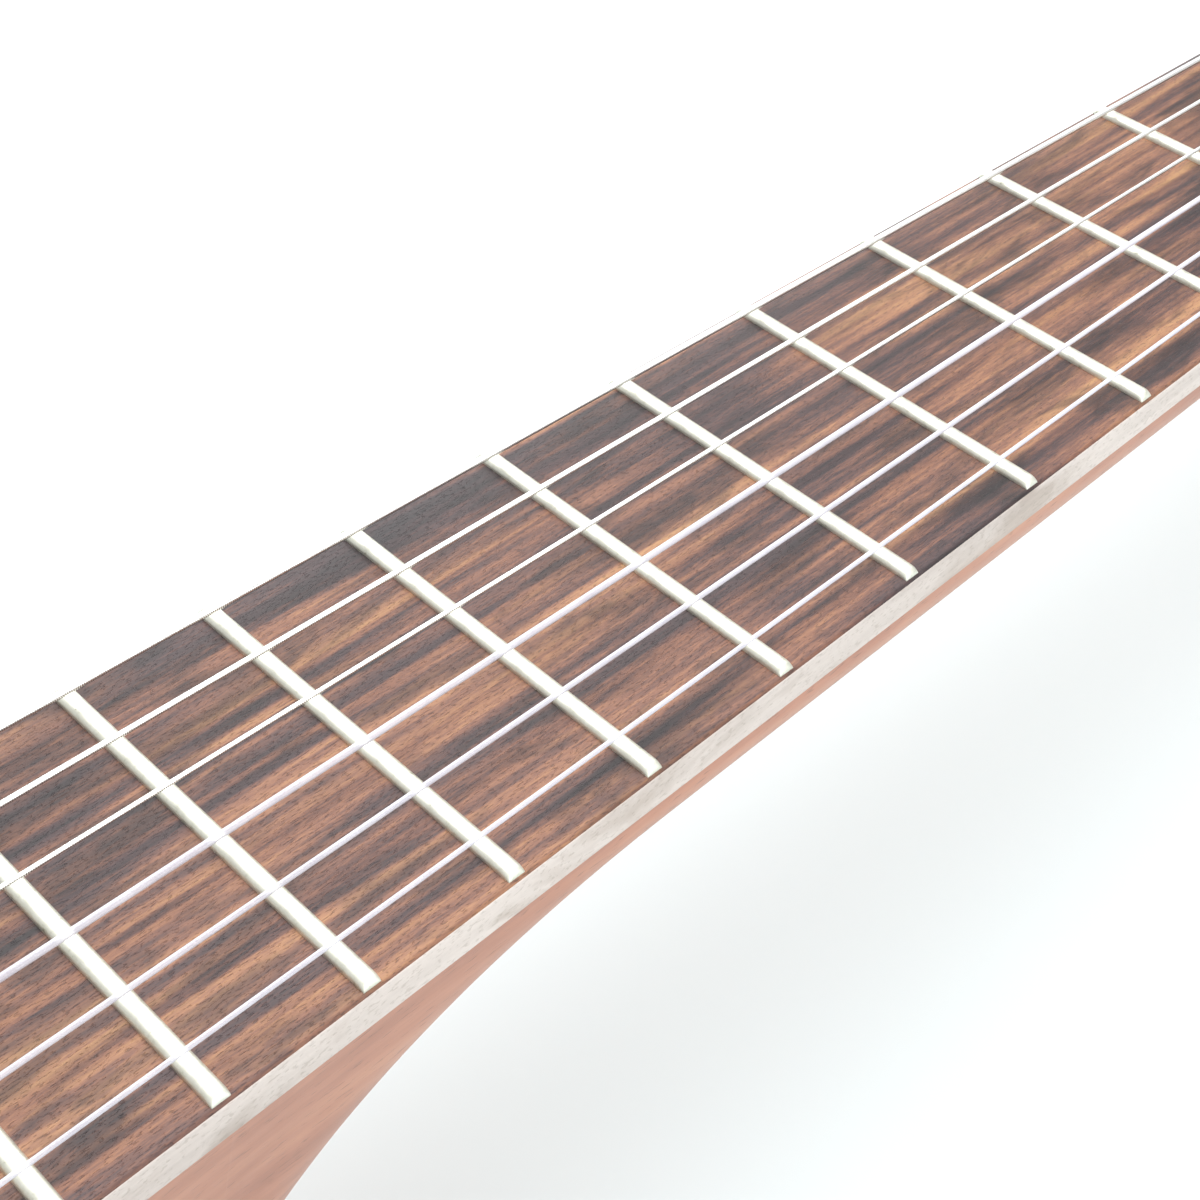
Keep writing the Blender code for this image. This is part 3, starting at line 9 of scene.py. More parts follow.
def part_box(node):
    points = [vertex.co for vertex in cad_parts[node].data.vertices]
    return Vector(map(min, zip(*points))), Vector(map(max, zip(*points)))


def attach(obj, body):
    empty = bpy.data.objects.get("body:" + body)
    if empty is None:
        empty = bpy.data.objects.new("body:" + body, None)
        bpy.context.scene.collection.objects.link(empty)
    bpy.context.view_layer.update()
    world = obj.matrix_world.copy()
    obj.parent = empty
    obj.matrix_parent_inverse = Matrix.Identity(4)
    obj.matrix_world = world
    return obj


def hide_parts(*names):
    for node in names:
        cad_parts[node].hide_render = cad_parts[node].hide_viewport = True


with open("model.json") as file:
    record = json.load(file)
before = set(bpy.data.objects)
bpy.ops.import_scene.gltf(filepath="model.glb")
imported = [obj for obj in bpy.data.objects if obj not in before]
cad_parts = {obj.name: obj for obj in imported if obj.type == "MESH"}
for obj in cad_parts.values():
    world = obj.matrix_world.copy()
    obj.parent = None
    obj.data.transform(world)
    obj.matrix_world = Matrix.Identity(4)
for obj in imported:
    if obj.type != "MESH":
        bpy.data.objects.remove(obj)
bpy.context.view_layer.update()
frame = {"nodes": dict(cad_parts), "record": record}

behaviour = frame["record"]["behaviour"]
bodyOf = {node: body for body, group in behaviour["bodies"].items() for node in group}
print("frame loaded:", len(bodyOf), "CAD nodes")


# small tools

def mm(size):
    # sizes are written in millimetres and used in metres
    if isinstance(size, dict):
        return {name: mm(value) for name, value in size.items()}
    return [mm(value) for value in size] if isinstance(size, (list, tuple)) else size / 1000


def linear(hexColour):
    channels = [int(hexColour[i:i + 2], 16) / 255 for i in (1, 3, 5)]
    return [c / 12.92 if c <= 0.04045 else ((c + 0.055) / 1.055) ** 2.4 for c in channels] + [1]


def addNode(tree, kind, links, output=0, stops=(), **settings):
    # links gives each input a value or another node's output, stops fills a colour ramp
    node = tree.nodes.new("ShaderNode" + kind)
    for name, value in settings.items():
        setattr(node, name, value)
    for name, value in dict(links).items():
        if isinstance(value, bpy.types.NodeSocket):
            tree.links.new(value, node.inputs[name])
        else:
            node.inputs[name].default_value = value
    for place, colour in stops[1:-1]:
        node.color_ramp.elements.new(place)
    for k, (place, colour) in enumerate(stops):
        element = node.color_ramp.elements[k]
        element.position, element.color = place, linear(colour)
    return node.outputs[output]


class Surface:
    # a procedural material, with short ways to the nodes that the looks here share
    def __init__(self, name, **sockets):
        self.material = bpy.data.materials.new(name)
        self.material.use_nodes = True
        self.tree = self.material.node_tree
        self.shader = self.tree.nodes["Principled BSDF"]
        for socket, value in sockets.items():
            self.shader.inputs[socket.replace("_", " ")].default_value = value

    def add(self, kind, links=(), **settings):
        return addNode(self.tree, kind, links, **settings)

    def spot(self):
        return self.add("TexCoord", output="Object")

    def noise(self, vector, scale, detail, roughness=0.5, distortion=0.0):
        return self.add("TexNoise", {"Vector": vector, "Scale": scale, "Detail": detail, "Roughness": roughness,
                                     "Distortion": distortion})

    def math(self, operation, *values):
        return self.add("Math", dict(enumerate(values)), operation=operation)

    def ramp(self, value, stops):
        return self.add("ValToRGB", {"Fac": value}, stops=stops)

    def remap(self, value, low, high, start=0.0, end=1.0):
        return self.add("MapRange", {"Value": value, "From Min": start, "From Max": end, "To Min": low, "To Max": high})

    def bump(self, height, strength, distance=0.0001):
        return self.add("Bump", {"Height": height, "Strength": strength, "Distance": distance})

    def finish(self, **outputs):
        for socket, output in outputs.items():
            self.tree.links.new(output, self.shader.inputs[socket.replace("_", " ")])
        return self.material


def stand(name, data):
    thing = bpy.data.objects.new(name, data)
    bpy.context.scene.collection.objects.link(thing)
    return thing


def shade(piece, angle=35):
    piece.data.shade_smooth()
    piece.data.set_sharp_from_angle(angle=radians(angle))
    return piece


def meshPiece(name, solid, material=None, smooth=40, at=None):
    points, faces = moved(solid, at) if at else solid
    mesh = bpy.data.meshes.new(name)
    mesh.from_pydata([tuple(point) for point in points], [], faces)
    work = bmesh.new()
    work.from_mesh(mesh)
    bmesh.ops.recalc_face_normals(work, faces=work.faces)
    work.to_mesh(mesh)
    work.free()
    if material:
        mesh.materials.append(material)
    piece = stand(name, mesh)
    return shade(piece, smooth) if smooth else piece


def fit(piece, node):
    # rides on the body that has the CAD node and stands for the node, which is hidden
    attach(piece, bodyOf[node])
    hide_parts(node)
    return piece


def part(name, solid, material, slot, node, smooth=30, at=None):
    return fit(meshPiece(name, solid, material, smooth, at), node)


def carved(name, solid, material, slot, node, *holes, added=(), smooth=30, at=None):
    # a piece made of solids joined and holes cut, then put in place
    piece = meshPiece(name, solid, material, 0)
    cut(piece, *added, operation="UNION")
    cut(piece, *holes)
    if at:
        piece.data.transform(at)
    return fit(shade(piece, smooth), node)


def loft(rings, closed=False):
    count = len(rings[0])
    faces = []
    for r in range(len(rings) if closed else len(rings) - 1):
        here, after = r * count, (r + 1) % len(rings) * count
        faces += [(here + i, here + (i + 1) % count, after + (i + 1) % count, after + i) for i in range(count)]
    if not closed:
        faces += [tuple(range(count)), tuple(range((len(rings) - 1) * count, len(rings) * count))]
    return [point for ring in rings for point in ring], faces


def layGrain(piece, rings):
    # UV in metres: u runs from ring to ring, v round each ring
    count = len(rings[0])

    def steps(spots):
        run = [0.0]
        for a, b in zip(spots, spots[1:] + spots[:1]):
            run.append(run[-1] + (Vector(b) - Vector(a)).length)
        return run

    along, around = steps([ring[0] for ring in rings]), steps(rings[0])
    layer = piece.data.uv_layers.new(name="grainMetres")
    for face in piece.data.polygons:
        spots = [divmod(v, count) for v in face.vertices]
        lastRing, lastSpot = max(r for r, _ in spots), max(k for _, k in spots)
        for loop, (r, k) in zip(face.loop_indices, spots):
            u = along[len(rings)] if r == 0 and lastRing > 1 else along[r]
            v = around[count] if k == 0 and lastSpot > 1 and len(spots) == 4 else around[k]
            layer.data[loop].uv = (u, v)
    return piece


def moved(solid, matrix):
    return [matrix @ Vector(point) for point in solid[0]], solid[1]


def joined(solids):
    points, faces = [], []
    for more, sides in solids:
        faces += [tuple(len(points) + n for n in side) for side in sides]
        points += more
    return points, faces


def prism(outline, low, high):
    return loft([[(x, y, z) for x, y in outline] for z in (low, high)])


def box(x0, x1, y0, y1, z0, z1):
    return prism([(x0, y0), (x1, y0), (x1, y1), (x0, y1)], z0, z1)


def quarter(radius, steps):
    # an edge rounded by a quarter turn: distance in and distance down, from the side to the top
    angles = [pi / 2 * k / steps for k in range(steps + 1)]
    return [(radius * (1 - sin(a)), radius * (1 - cos(a))) for a in angles]


def easedPrism(outline, low, high, ease, steps=3):
    edge = quarter(ease, steps)
    levels = [(d, low + rise) for d, rise in edge] + [(d, high - rise) for d, rise in reversed(edge)]
    return loft([[(x, y, z) for x, y in inset(outline, d)] for d, z in levels])


def arc(radius, start, turn, steps, x=0.0, y=0.0):
    # points from the angle start through turn, both in radians
    angles = [start + turn * k / steps for k in range(steps + 1)]
    return [(x + radius * cos(a), y + radius * sin(a)) for a in angles]


def circle(radius, sides, x=0.0, y=0.0):
    return arc(radius, 0, 2 * pi, sides, x, y)[:-1]


def roundedBox(x0, x1, y0, y1, corner, steps):
    x0, x1, y0, y1 = x0 + corner, x1 - corner, y0 + corner, y1 - corner
    centres = enumerate(((x1, y1), (x0, y1), (x0, y0), (x1, y0)))
    return [spot for n, (x, y) in centres for spot in arc(corner, pi / 2 * n, pi / 2, steps, x, y)]


def turned(profile, sides, flute=None):
    # turned about Z from (height, radius) pairs that start and end on the axis; flute(height, angle) scales a radius
    points = [(0, 0, profile[0][0])]
    for height, radius in profile[1:-1]:
        for i in range(sides):
            a = 2 * pi * i / sides
            r = radius * (flute(height, a) if flute else 1)
            points.append((r * cos(a), r * sin(a), height))
    points.append((0, 0, profile[-1][0]))
    last, rows = len(points) - 1, len(profile) - 2
    faces = []
    for i in range(sides):
        j = (i + 1) % sides
        faces.append((0, 1 + j, 1 + i))
        for here in range(1, 1 + (rows - 1) * sides, sides):
            faces.append((here + i, here + j, here + sides + j, here + sides + i))
        faces.append((1 + (rows - 1) * sides + i, 1 + (rows - 1) * sides + j, last))
    return points, faces


def rod(start, end, radius, sides):
    return turned([(start, 0), (start, radius), (end, radius), (end, 0)], sides)


def shift(*distance):
    return Matrix.Translation(distance)


def turnTo(*axis):
    return Vector((0, 0, 1)).rotation_difference(Vector(axis)).to_matrix().to_4x4()


def cut(piece, *solids, operation="DIFFERENCE"):
    for solid in solids:
        tool = meshPiece("tool", solid, None, 0)
        step = piece.modifiers.new("step", "BOOLEAN")
        step.operation, step.solver, step.object = operation, "EXACT", tool
        bpy.context.view_layer.update()
        result = bpy.data.meshes.new_from_object(piece.evaluated_get(bpy.context.evaluated_depsgraph_get()))
        piece.modifiers.clear()
        piece.data = result
        bpy.data.objects.remove(tool, do_unlink=True)
    return piece


def soften(piece, width, segments=2, angle=40):
    # breaks the sharp edges, as sanding or a mould does, and keeps the flats flat; angle is the least one that breaks
    bevel = piece.modifiers.new("brokenEdges", "BEVEL")
    bevel.width, bevel.segments = width, segments
    bevel.limit_method, bevel.angle_limit = "ANGLE", radians(angle)
    bevel.harden_normals = False
    piece.modifiers.new("flatFaces", "WEIGHTED_NORMAL").keep_sharp = True
    return piece


def inset(points, distance):
    # a closed outline moved inward, to its left
    result = []
    for i, here in enumerate(points):
        before, here, after = Vector(points[i - 1]), Vector(here), Vector(points[(i + 1) % len(points)])
        one, two = (here - before).normalized(), (after - here).normalized()
        normal = Vector((-one.y - two.y, one.x + two.x)).normalized()
        reach = distance / max(0.5, normal.dot(Vector((-one.y, one.x))))
        result.append(tuple(here + normal * reach))
    return result


# camera, light and floor

studio = {
    "camera": {"place": (-0.041739, -0.132551, 0.283596), "lens": 60.623}, "right": (0.710531, -0.702207, 0.045283),
    "up": (0.466202, 0.517977, 0.717186), "world": ("#fbfdfd", 0.80),
    # place, aim, size across and deep, power in watts
    "lights": {
        "skylight": ((0.5, 0.3, 1.8), (0.05, 0.0, 0.1), 2.2, 1.6, 46),
        "sideFill": ((0.3, -1.7, 0.9), (0.05, 0.0, 0.1), 1.6, 1.0, 15),
        "backRim": ((0.9, 1.3, 0.8), (0.1, 0.0, 0.1), 1.2, 0.8, 12),
    },
    "floorReach": 30, "floorDrop": 0.0005,
}
cameraData = bpy.data.cameras.new("closeUp")
cameraData.lens, cameraData.clip_start = studio["camera"]["lens"], 0.01
camera = stand("closeUp", cameraData)
right, up = Vector(studio["right"]), Vector(studio["up"])
turn = Matrix((right, up, right.cross(up))).transposed().to_4x4()
camera.matrix_world = Matrix.Translation(studio["camera"]["place"]) @ turn
bpy.context.scene.camera = camera
bpy.context.scene.view_settings.view_transform = "Standard"

world = bpy.data.worlds.new("paleStudio")
world.use_nodes = True
background = world.node_tree.nodes["Background"].inputs
background["Color"].default_value = linear(studio["world"][0])
background["Strength"].default_value = studio["world"][1]
bpy.context.scene.world = world
for name, (place, aim, across, deep, power) in studio["lights"].items():
    light = bpy.data.lights.new(name, "AREA")
    light.shape = "RECTANGLE"
    light.size, light.size_y, light.energy = across, deep, power
    lamp = stand(name, light)
    lamp.location = place
    lamp.rotation_euler = (Vector(place) - Vector(aim)).to_track_quat("Z", "Y").to_euler()

# painted board for a floor, matt and faintly uneven; its colour is painted darker towards the eye, a painted shade for
# the light falling off there
s = Surface("mattWhitePaint", Roughness=0.85)
cloud = s.noise(s.spot(), 1.5, 3.0)
# painted shade: depth darkens the floor's colour towards the eye (lower Y)
depth = s.remap(s.add("SeparateXYZ", {"Vector": s.spot()}, output="Y"), -0.2, 0.8, -0.30, 0.25)
cloudAndPaintedShade = s.ramp(s.math("MULTIPLY_ADD", cloud, 0.4, depth), [(0.0, "#bbc4c5"), (1.0, "#e3eaec")])
floorPaint = s.finish(Base_Color=cloudAndPaintedShade)
reach = studio["floorReach"]
corners = [(-reach, -reach, 0), (reach, -reach, 0), (reach, reach, 0), (-reach, reach, 0)]
floor = meshPiece("floor", (corners, [(0, 1, 2, 3)]), floorPaint, 0)
floor.location.z = -studio["floorDrop"]
print("camera, light and floor made")


# woods

woodLooks = {}
waveLength = 314  # mm from wave to wave in a wave texture at scale 1


def makeWood(name, like=None, **changes):
    # growth bands, broad colour drift, darker smudges and open pores, all drawn along the grain; lengths in mm
    # band: the figure's length, width and depth; pore: length and width; rings: pitch and share of yearly rings
    look = woodLooks[name] = {**woodLooks.get(like, {}), **changes}
    s = Surface(name, Coat_Weight=look["coat"], Coat_Roughness=look.get("coatRough", 0.12), IOR=1.5)
    bent = look["grain"] == "uv"  # bent wood, whose grain follows the piece
    spot = s.add("UVMap", uv_map="grainMetres") if bent else s.spot()
    order = (1, 0, 2) if look["grain"] == "y" else (0, 1, 2)
    if look.get("bookmatched"):  # two halves of one board, opened like a book about the middle line
        x, y, z = (s.add("SeparateXYZ", {"Vector": spot}, output=axis) for axis in "XYZ")
        spot = s.add("CombineXYZ", {"X": x, "Y": s.math("ABSOLUTE", y), "Z": z})

    def field(length, width, depth, shift, detail, roughness=0.5, distortion=0.0):
        scale = [0, 0, 0]
        for axis, size in zip(order, (length, width, depth)):
            scale[axis] = 1 / size
        place = [value + shift for value in look["offset"]]
        vector = s.add("Mapping", {"Vector": spot, "Scale": scale, "Location": place})
        return s.noise(vector, 1.0, detail, roughness, distortion)

    length, width, depth = mm(look["band"])
    poreLength, poreWidth = mm(look["pore"])
    bands = field(length, width, depth, 0.0, 7.0, look.get("bandRough", 0.62), look["wander"])
    drift = field(length * 1.6, width * 6, depth * 4, 3.3, 3.0, 0.5, 0.4)
    smudge = field(length * 0.35, width * 2.6, depth * 2.6, 5.9, 4.0, 0.6, 0.6)
    pore = field(poreLength, poreWidth, poreWidth * 2, 1.7, 2.0)
    fine = field(poreLength * 2.5, poreWidth * 1.3, poreWidth * 3, 8.1, 3.0, 0.7)

    def stir(mixed, more, share):
        # more is added about its own middle
        return s.math("SUBTRACT", s.math("MULTIPLY_ADD", more, share, mixed), share / 2)

    mixed = s.math("MULTIPLY_ADD", drift, look["driftShare"], s.math("MULTIPLY", bands, 1 - look["driftShare"]))
    if look.get("rings"):  # yearly rings of quartered softwood: fine parallel lines across the board
        pitch, share = look["rings"]
        ringWave = {"Vector": spot, "Scale": waveLength / pitch, "Distortion": 1.6, "Detail": 2.0, "Detail Scale": 0.02}
        mixed = stir(mixed, s.add("TexWave", ringWave, output="Fac", bands_direction="Y", wave_profile="SAW"), share)
    mixed = stir(mixed, fine, look["fibre"])
    colours = {0: look["smudgeShare"], 6: s.ramp(mixed, look["stops"]), 7: s.ramp(smudge, look["smudge"])}
    body = s.add("Mix", colours, output=2, data_type="RGBA", blend_type="MULTIPLY")
    hole = s.remap(pore, 0.0, 1.0, look["poreFrom"], look["poreFrom"] + 0.09)
    colours = {0: s.math("MULTIPLY", hole, look["poreDark"]), 6: body, 7: linear(look["poreColour"])}
    colour = s.add("Mix", colours, output=2, data_type="RGBA")
    bump = s.bump(s.math("MULTIPLY_ADD", hole, -1.0, mixed), look["bump"], 0.00012)
    rough = s.remap(fine, look["rough"] - 0.06, look["rough"] + 0.08)
    return s.finish(Base_Color=colour, Roughness=rough, Normal=bump)


# Indian rosewood, planed, scraped and oiled: purple-black streaks a few mm wide over dull brown, pores left open
rosewood = makeWood(
    "rosewoodOiled", grain="x", offset=(3.1, 7.7, 1.3), band=(68, 2.2, 4), bandRough=0.54, wander=0.28,
    driftShare=0.37, fibre=0.20,
    stops=[(0.34, "#20171a"), (0.43, "#3e2b2c"), (0.49, "#603f35"), (0.54, "#7b523f"), (0.60, "#94684a"),
           (0.70, "#ac8157")],
    smudge=[(0.36, "#70656f"), (0.53, "#ffffff")], smudgeShare=0.8,
    pore=(1.0, 0.22), poreFrom=0.57, poreDark=0.42, poreColour="#1c1518", rough=0.50, coat=0.0, bump=0.5)
rosewoodBridge = makeWood("rosewoodBridgeOiled", "rosewoodOiled", grain="y", offset=(0.9, 4.1, 2.7))
# the board's long sides: the oiled rosewood painted paler and greyer than the oiled face, a painted reflection of the
# white surroundings seen at a grazing angle
rosewoodEdgePaintedReflection = makeWood(
    "rosewoodSideReflectionPainted", "rosewoodOiled", stops=[(0.30, "#bbb0a9"), (0.44, "#cabfb8"), (0.56, "#d6cbc4"),
                                                 (0.72, "#e0d6cf")],
    smudge=[(0.36, "#d8d2cc"), (0.52, "#ffffff")], poreDark=0.25, poreColour="#857768", bump=0.25)
# the same rosewood as thick plates under gloss lacquer: deeper and redder, pores filled, a wet shine
rosewoodPlate = makeWood(
    "rosewoodLacquered", "rosewoodOiled", band=(110, 4.2, 8), offset=(1.1, 0.2, 4.4), bookmatched=True,
    stops=[(0.30, "#170d0c"), (0.41, "#2c1613"), (0.48, "#47231b"), (0.55, "#5d2f21"), (0.63, "#763f29"),
           (0.74, "#8d5434")],
    smudge=[(0.34, "#6e5a58"), (0.54, "#ffffff")], poreDark=0.5, rough=0.30, coat=0.9, coatRough=0.05, bump=0.06)
rosewoodBent = makeWood("rosewoodBentLacquered", "rosewoodLacquered", grain="uv", bookmatched=False)
# Honduran mahogany under satin lacquer: even orange brown, fine pores, slow ribbons of light and dark
mahogany = makeWood(
    "mahoganyLacquered", grain="x", offset=(1.7, 2.2, 5.1), band=(90, 4, 6), wander=0.2, driftShare=0.5, fibre=0.20,
    stops=[(0.28, "#9c6045"), (0.42, "#ae7053"), (0.52, "#bb7d5f"), (0.62, "#c58a69"), (0.75, "#cf9975")],
    smudge=[(0.30, "#d8c4b8"), (0.60, "#ffffff")], smudgeShare=0.6,
    pore=(3.0, 0.22), poreFrom=0.62, poreDark=0.5, poreColour="#5b3220", rough=0.38, coat=0.25, bump=0.15)
# Sitka spruce, quartered, under gloss lacquer aged to amber: straight rings with silky cross flecks
spruce = makeWood(
    "spruceLacquered", grain="x", offset=(0.4, 0.3, 2.0), band=(300, 3, 20), wander=0.05, driftShare=0.5, fibre=0.12,
    rings=(1.4, 0.26), bookmatched=True,
    stops=[(0.28, "#cfb286"), (0.45, "#c6a678"), (0.56, "#ba9566"), (0.66, "#a98150"), (0.78, "#966c3e")],
    smudge=[(0.32, "#f2e2c4"), (0.60, "#ffffff")], smudgeShare=0.5, pore=(6.0, 0.30), poreFrom=0.66, poreDark=0.22,
    poreColour="#8a5f30", rough=0.30, coat=0.55, coatRough=0.07, bump=0.04)
# bare softwood inside the body, left from the plane: paler, dry, the same rings
bareSpruce = makeWood(
    "spruceBare", "spruceLacquered", rough=0.7, coat=0.0, bump=0.2, bookmatched=False,
    stops=[(0.28, "#e9d5ad"), (0.45, "#e2c99b"), (0.56, "#d8bb88"), (0.66, "#cba974"), (0.78, "#b8935f")])
crossSpruce = makeWood("spruceBareCrosswise", "spruceBare", grain="y", rings=None)
# lime blocks and linings, sawn and sanded: cream brown with hardly any figure
limeUpright = makeWood("limeBlockSanded", "spruceBareCrosswise", band=(60, 6, 6),
                       stops=[(0.30, "#c8a878"), (0.50, "#d2b485"), (0.72, "#dcc297")])
limeBent = makeWood("limeLiningSanded", "limeBlockSanded", grain="uv")
# ebony strips, scraped and lacquered: near black with brown hairlines
ebony = makeWood(
    "ebonyLacquered", "rosewoodOiled", grain="uv", band=(80, 0.9, 2), smudgeShare=0.0, poreDark=0.2, rough=0.28,
    coat=0.8,
    coatRough=0.06, bump=0.05, stops=[(0.30, "#0d0a09"), (0.48, "#1c1512"), (0.60, "#2d201a"), (0.74, "#3d2a20")])
ebonyFlat = makeWood("ebonyStripLacquered", "ebonyLacquered", grain="x")
# maple strips, scraped flush: pale cream lines with a faint fleck
maple = makeWood("mapleLacquered", "ebonyLacquered", pore=(1.2, 0.12), poreColour="#a98455",
                 stops=[(0.30, "#d9bf92"), (0.48, "#e4cfa6"), (0.60, "#ead8b4"), (0.74, "#efe1c4")])
mapleFlat = makeWood("mapleStripLacquered", "mapleLacquered", grain="x")
print("woods made")


# metals, nylon, bone and plastics

def makeMetal(name, brush, nickScale, rough, bump, stops):
    # a cross polish in roughness, small nicks in colour, both as bump too
    s = Surface(name, Metallic=1.0)
    polish = s.noise(s.add("Mapping", {"Vector": s.spot(), "Scale": brush}), 1.0, 3.0)
    nick = s.noise(s.spot(), nickScale, 4.0, 0.65)
    height = s.math("MULTIPLY_ADD", nick, 0.6, polish)
    return s.finish(Base_Color=s.ramp(nick, stops), Roughness=s.remap(polish, *rough), Normal=s.bump(height, bump))


# nickel silver, drawn wire, pressed in and polished: warm greenish white with dark nicks and a faint cross polish
fretMetal = makeMetal("nickelSilverPolished", (2500, 160, 900), 900.0, (0.42, 0.58), 0.05,
                      [(0.27, "#a9aa97"), (0.33, "#d3d3c4"), (0.42, "#dfdfd2"), (0.7, "#e8e8de")])
# brass sheet, stamped, brushed along the plate and lacquered: soft yellow with darker flecks
brass = makeMetal("brassBrushed", (60, 1500, 1500), 420.0, (0.18, 0.36), 0.05,
                  [(0.26, "#97783f"), (0.36, "#b9965a"), (0.55, "#c7a566"), (0.8, "#d2b277")])
# steel screws, turned and nickel plated: grey white, bright on the turned rings
steel = makeMetal("steelPlated", (700, 700, 700), 600.0, (0.16, 0.34), 0.08,
                  [(0.26, "#8d8f92"), (0.36, "#b3b5b7"), (0.70, "#c8c9ca")])

# nylon, extruded clear and ground round: the board shows through its middle, and the edges are milky and bright
s = Surface("nylonExtruded", IOR=1.53, Roughness=0.16)
facing = s.add("LayerWeight", {"Blend": 0.5}, output="Facing")
milk = s.ramp(s.noise(s.spot(), 240.0, 2.0), [(0.3, "#cbc9d3"), (0.7, "#dad9e1")])
nylonClear = s.finish(Alpha=s.remap(facing, 0.50, 1.0, 0.05, 0.60), Base_Color=milk)

# silvered copper wire wound on a floss core: the turns are 0.16 mm, drawn at 0.30 mm so that they show at all
s = Surface("silveredWinding", Metallic=1.0, Roughness=0.28)
run = {"Vector": s.add("UVMap", uv_map="grainMetres"), "Scale": waveLength / 0.30, "Distortion": 0.0}
turns = s.add("TexWave", run, output="Fac", bands_direction="X", wave_profile="SIN")
# painted shade: the colour darkens to grey in the grooves between the turns and is white on their crests
tone = s.ramp(turns, [(0.0, "#bcbcb8"), (0.45, "#f2f2f0"), (1.0, "#ffffff")])
woundSilver = s.finish(Base_Color=tone, Normal=s.bump(turns, 0.35, 0.00006))


def makeMoulded(name, cloudScale, swirl, grainScale, rough, bump, stops, **sockets):
    # plastics and bone: two tones in soft clouds, a fine surface grain in roughness and bump
    s = Surface(name, **sockets)
    cloud = s.noise(s.add("Mapping", {"Vector": s.spot(), "Scale": cloudScale}), 1.0, 4.0, 0.6, swirl)
    grain = s.noise(s.spot(), grainScale, 3.0, 0.6)
    return s.finish(Base_Color=s.ramp(cloud, stops), Roughness=s.remap(grain, *rough), Normal=s.bump(grain, bump))


# cow bone, sawn and buffed: warm ivory with faint darker fibres along the piece
bone = makeMoulded("boneBuffed", (900, 90, 900), 0.2, 1800.0, (0.22, 0.38), 0.06,
                   [(0.30, "#cabd9c"), (0.45, "#dcd2b8"), (0.70, "#e6decb")], IOR=1.54, Subsurface_Weight=0.15,
                   Subsurface_Scale=0.002)
# celluloid pearl, cast in sheet and cut: folded silvery clouds under a polished skin
pearl = makeMoulded("celluloidPearl", (150, 150, 190), 0.9, 400.0, (0.14, 0.24), 0.02,
                    [(0.34, "#bfb8a9"), (0.44, "#dbd5c8"), (0.50, "#c9c2b5"), (0.58, "#e6e1d6"), (0.70, "#cfc9bc")],
                    IOR=1.5, Coat_Weight=0.8, Coat_Roughness=0.05)
# acetal, turned from white rod: waxy, slightly warm
rollerPlastic = makeMoulded("acetalTurned", (300, 40, 300), 0.1, 900.0, (0.24, 0.36), 0.04,
                            [(0.30, "#cfcbc1"), (0.70, "#dedbd2")], IOR=1.48, Subsurface_Weight=0.1,
                            Subsurface_Scale=0.001)
# ABS, moulded against a spark-eroded tool: black with a fine even grain (0.2 mm, drawn at 0.35 mm)
absGrained = makeMoulded("absGrained", (60, 60, 60), 0.0, 2900.0, (0.42, 0.62), 0.35,
                         [(0.30, "#141516"), (0.70, "#1f2021")], IOR=1.53)
# the same ABS from a polished tool, for knobs and the door: smoother and a shade deeper
absSmooth = makeMoulded("absSmooth", (90, 90, 90), 0.0, 1400.0, (0.26, 0.40), 0.06,
                        [(0.30, "#101112"), (0.70, "#191a1b")], IOR=1.53)
# pad-printed ink on the panel: chalky white, slightly broken
printedInk = makeMoulded("inkPrinted", (900, 900, 900), 0.0, 2500.0, (0.55, 0.75), 0.1,
                         [(0.30, "#c9cac8"), (0.60, "#e6e7e5")])
# polycarbonate lens, moulded clear red over an unlit diode
redLens = makeMoulded("polycarbonateRed", (500, 500, 500), 0.0, 900.0, (0.06, 0.14), 0.02,
                      [(0.30, "#5a0d0d"), (0.70, "#8c1a16")], IOR=1.58, Transmission_Weight=0.35)
# open-cell foam that steadies the battery: charcoal, soft and pitted
foam = makeMoulded("foamCut", (300, 300, 300), 0.4, 700.0, (0.85, 0.98), 0.9, [(0.30, "#1b1b1d"), (0.70, "#343437")])
print("metals, nylon, bone and plastics made")


# places shared by several pieces, from the frame

boardLow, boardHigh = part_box("fretboard")
nutX, boardTop = boardHigh.x, boardHigh.z
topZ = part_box("soundboard")[1].z
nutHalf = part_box("nut")[1].y
gap = mm(0.3)  # glue line or running clearance in the CAD model
jointFromNut, headFromNut, headAngle = mm(325), mm(5.3), radians(15)
headFrame = shift(nutX + headFromNut, 0, topZ) @ Matrix.Rotation(headAngle, 4, "Y")


def boardHalf(x):
    return nutHalf + (boardHigh.y - nutHalf) * (nutX - x) / (nutX - boardLow.x)


# fretboard and frets

rolled = mm({"bass": 2.5, "treble": 0.8})  # radius of the board's long top edges, softened by hand
rings = []
for i in range(41):
    x = nutX + (boardLow.x - nutX) * i / 40
    ring = []
    for side, r in ((1, rolled["bass"]), (-1, rolled["treble"])):
        edge = [(boardHalf(x), boardLow.z)] + arc(r, 0, pi / 2, 6, boardHalf(x) - r, boardTop - r)
        ring += [(x, side * y, z) for y, z in edge[::side]]
    rings.append(ring)
fretboard = part("fretboardPlank", loft(rings), rosewood, "rosewood", "fretboard", smooth=40)
# the faces that look sideways get the pale copy: painted reflection on the board's long sides
fretboard.data.materials.append(rosewoodEdgePaintedReflection)
for face in fretboard.data.polygons:
    if abs(face.normal.y) > 0.9:
        face.material_index = 1

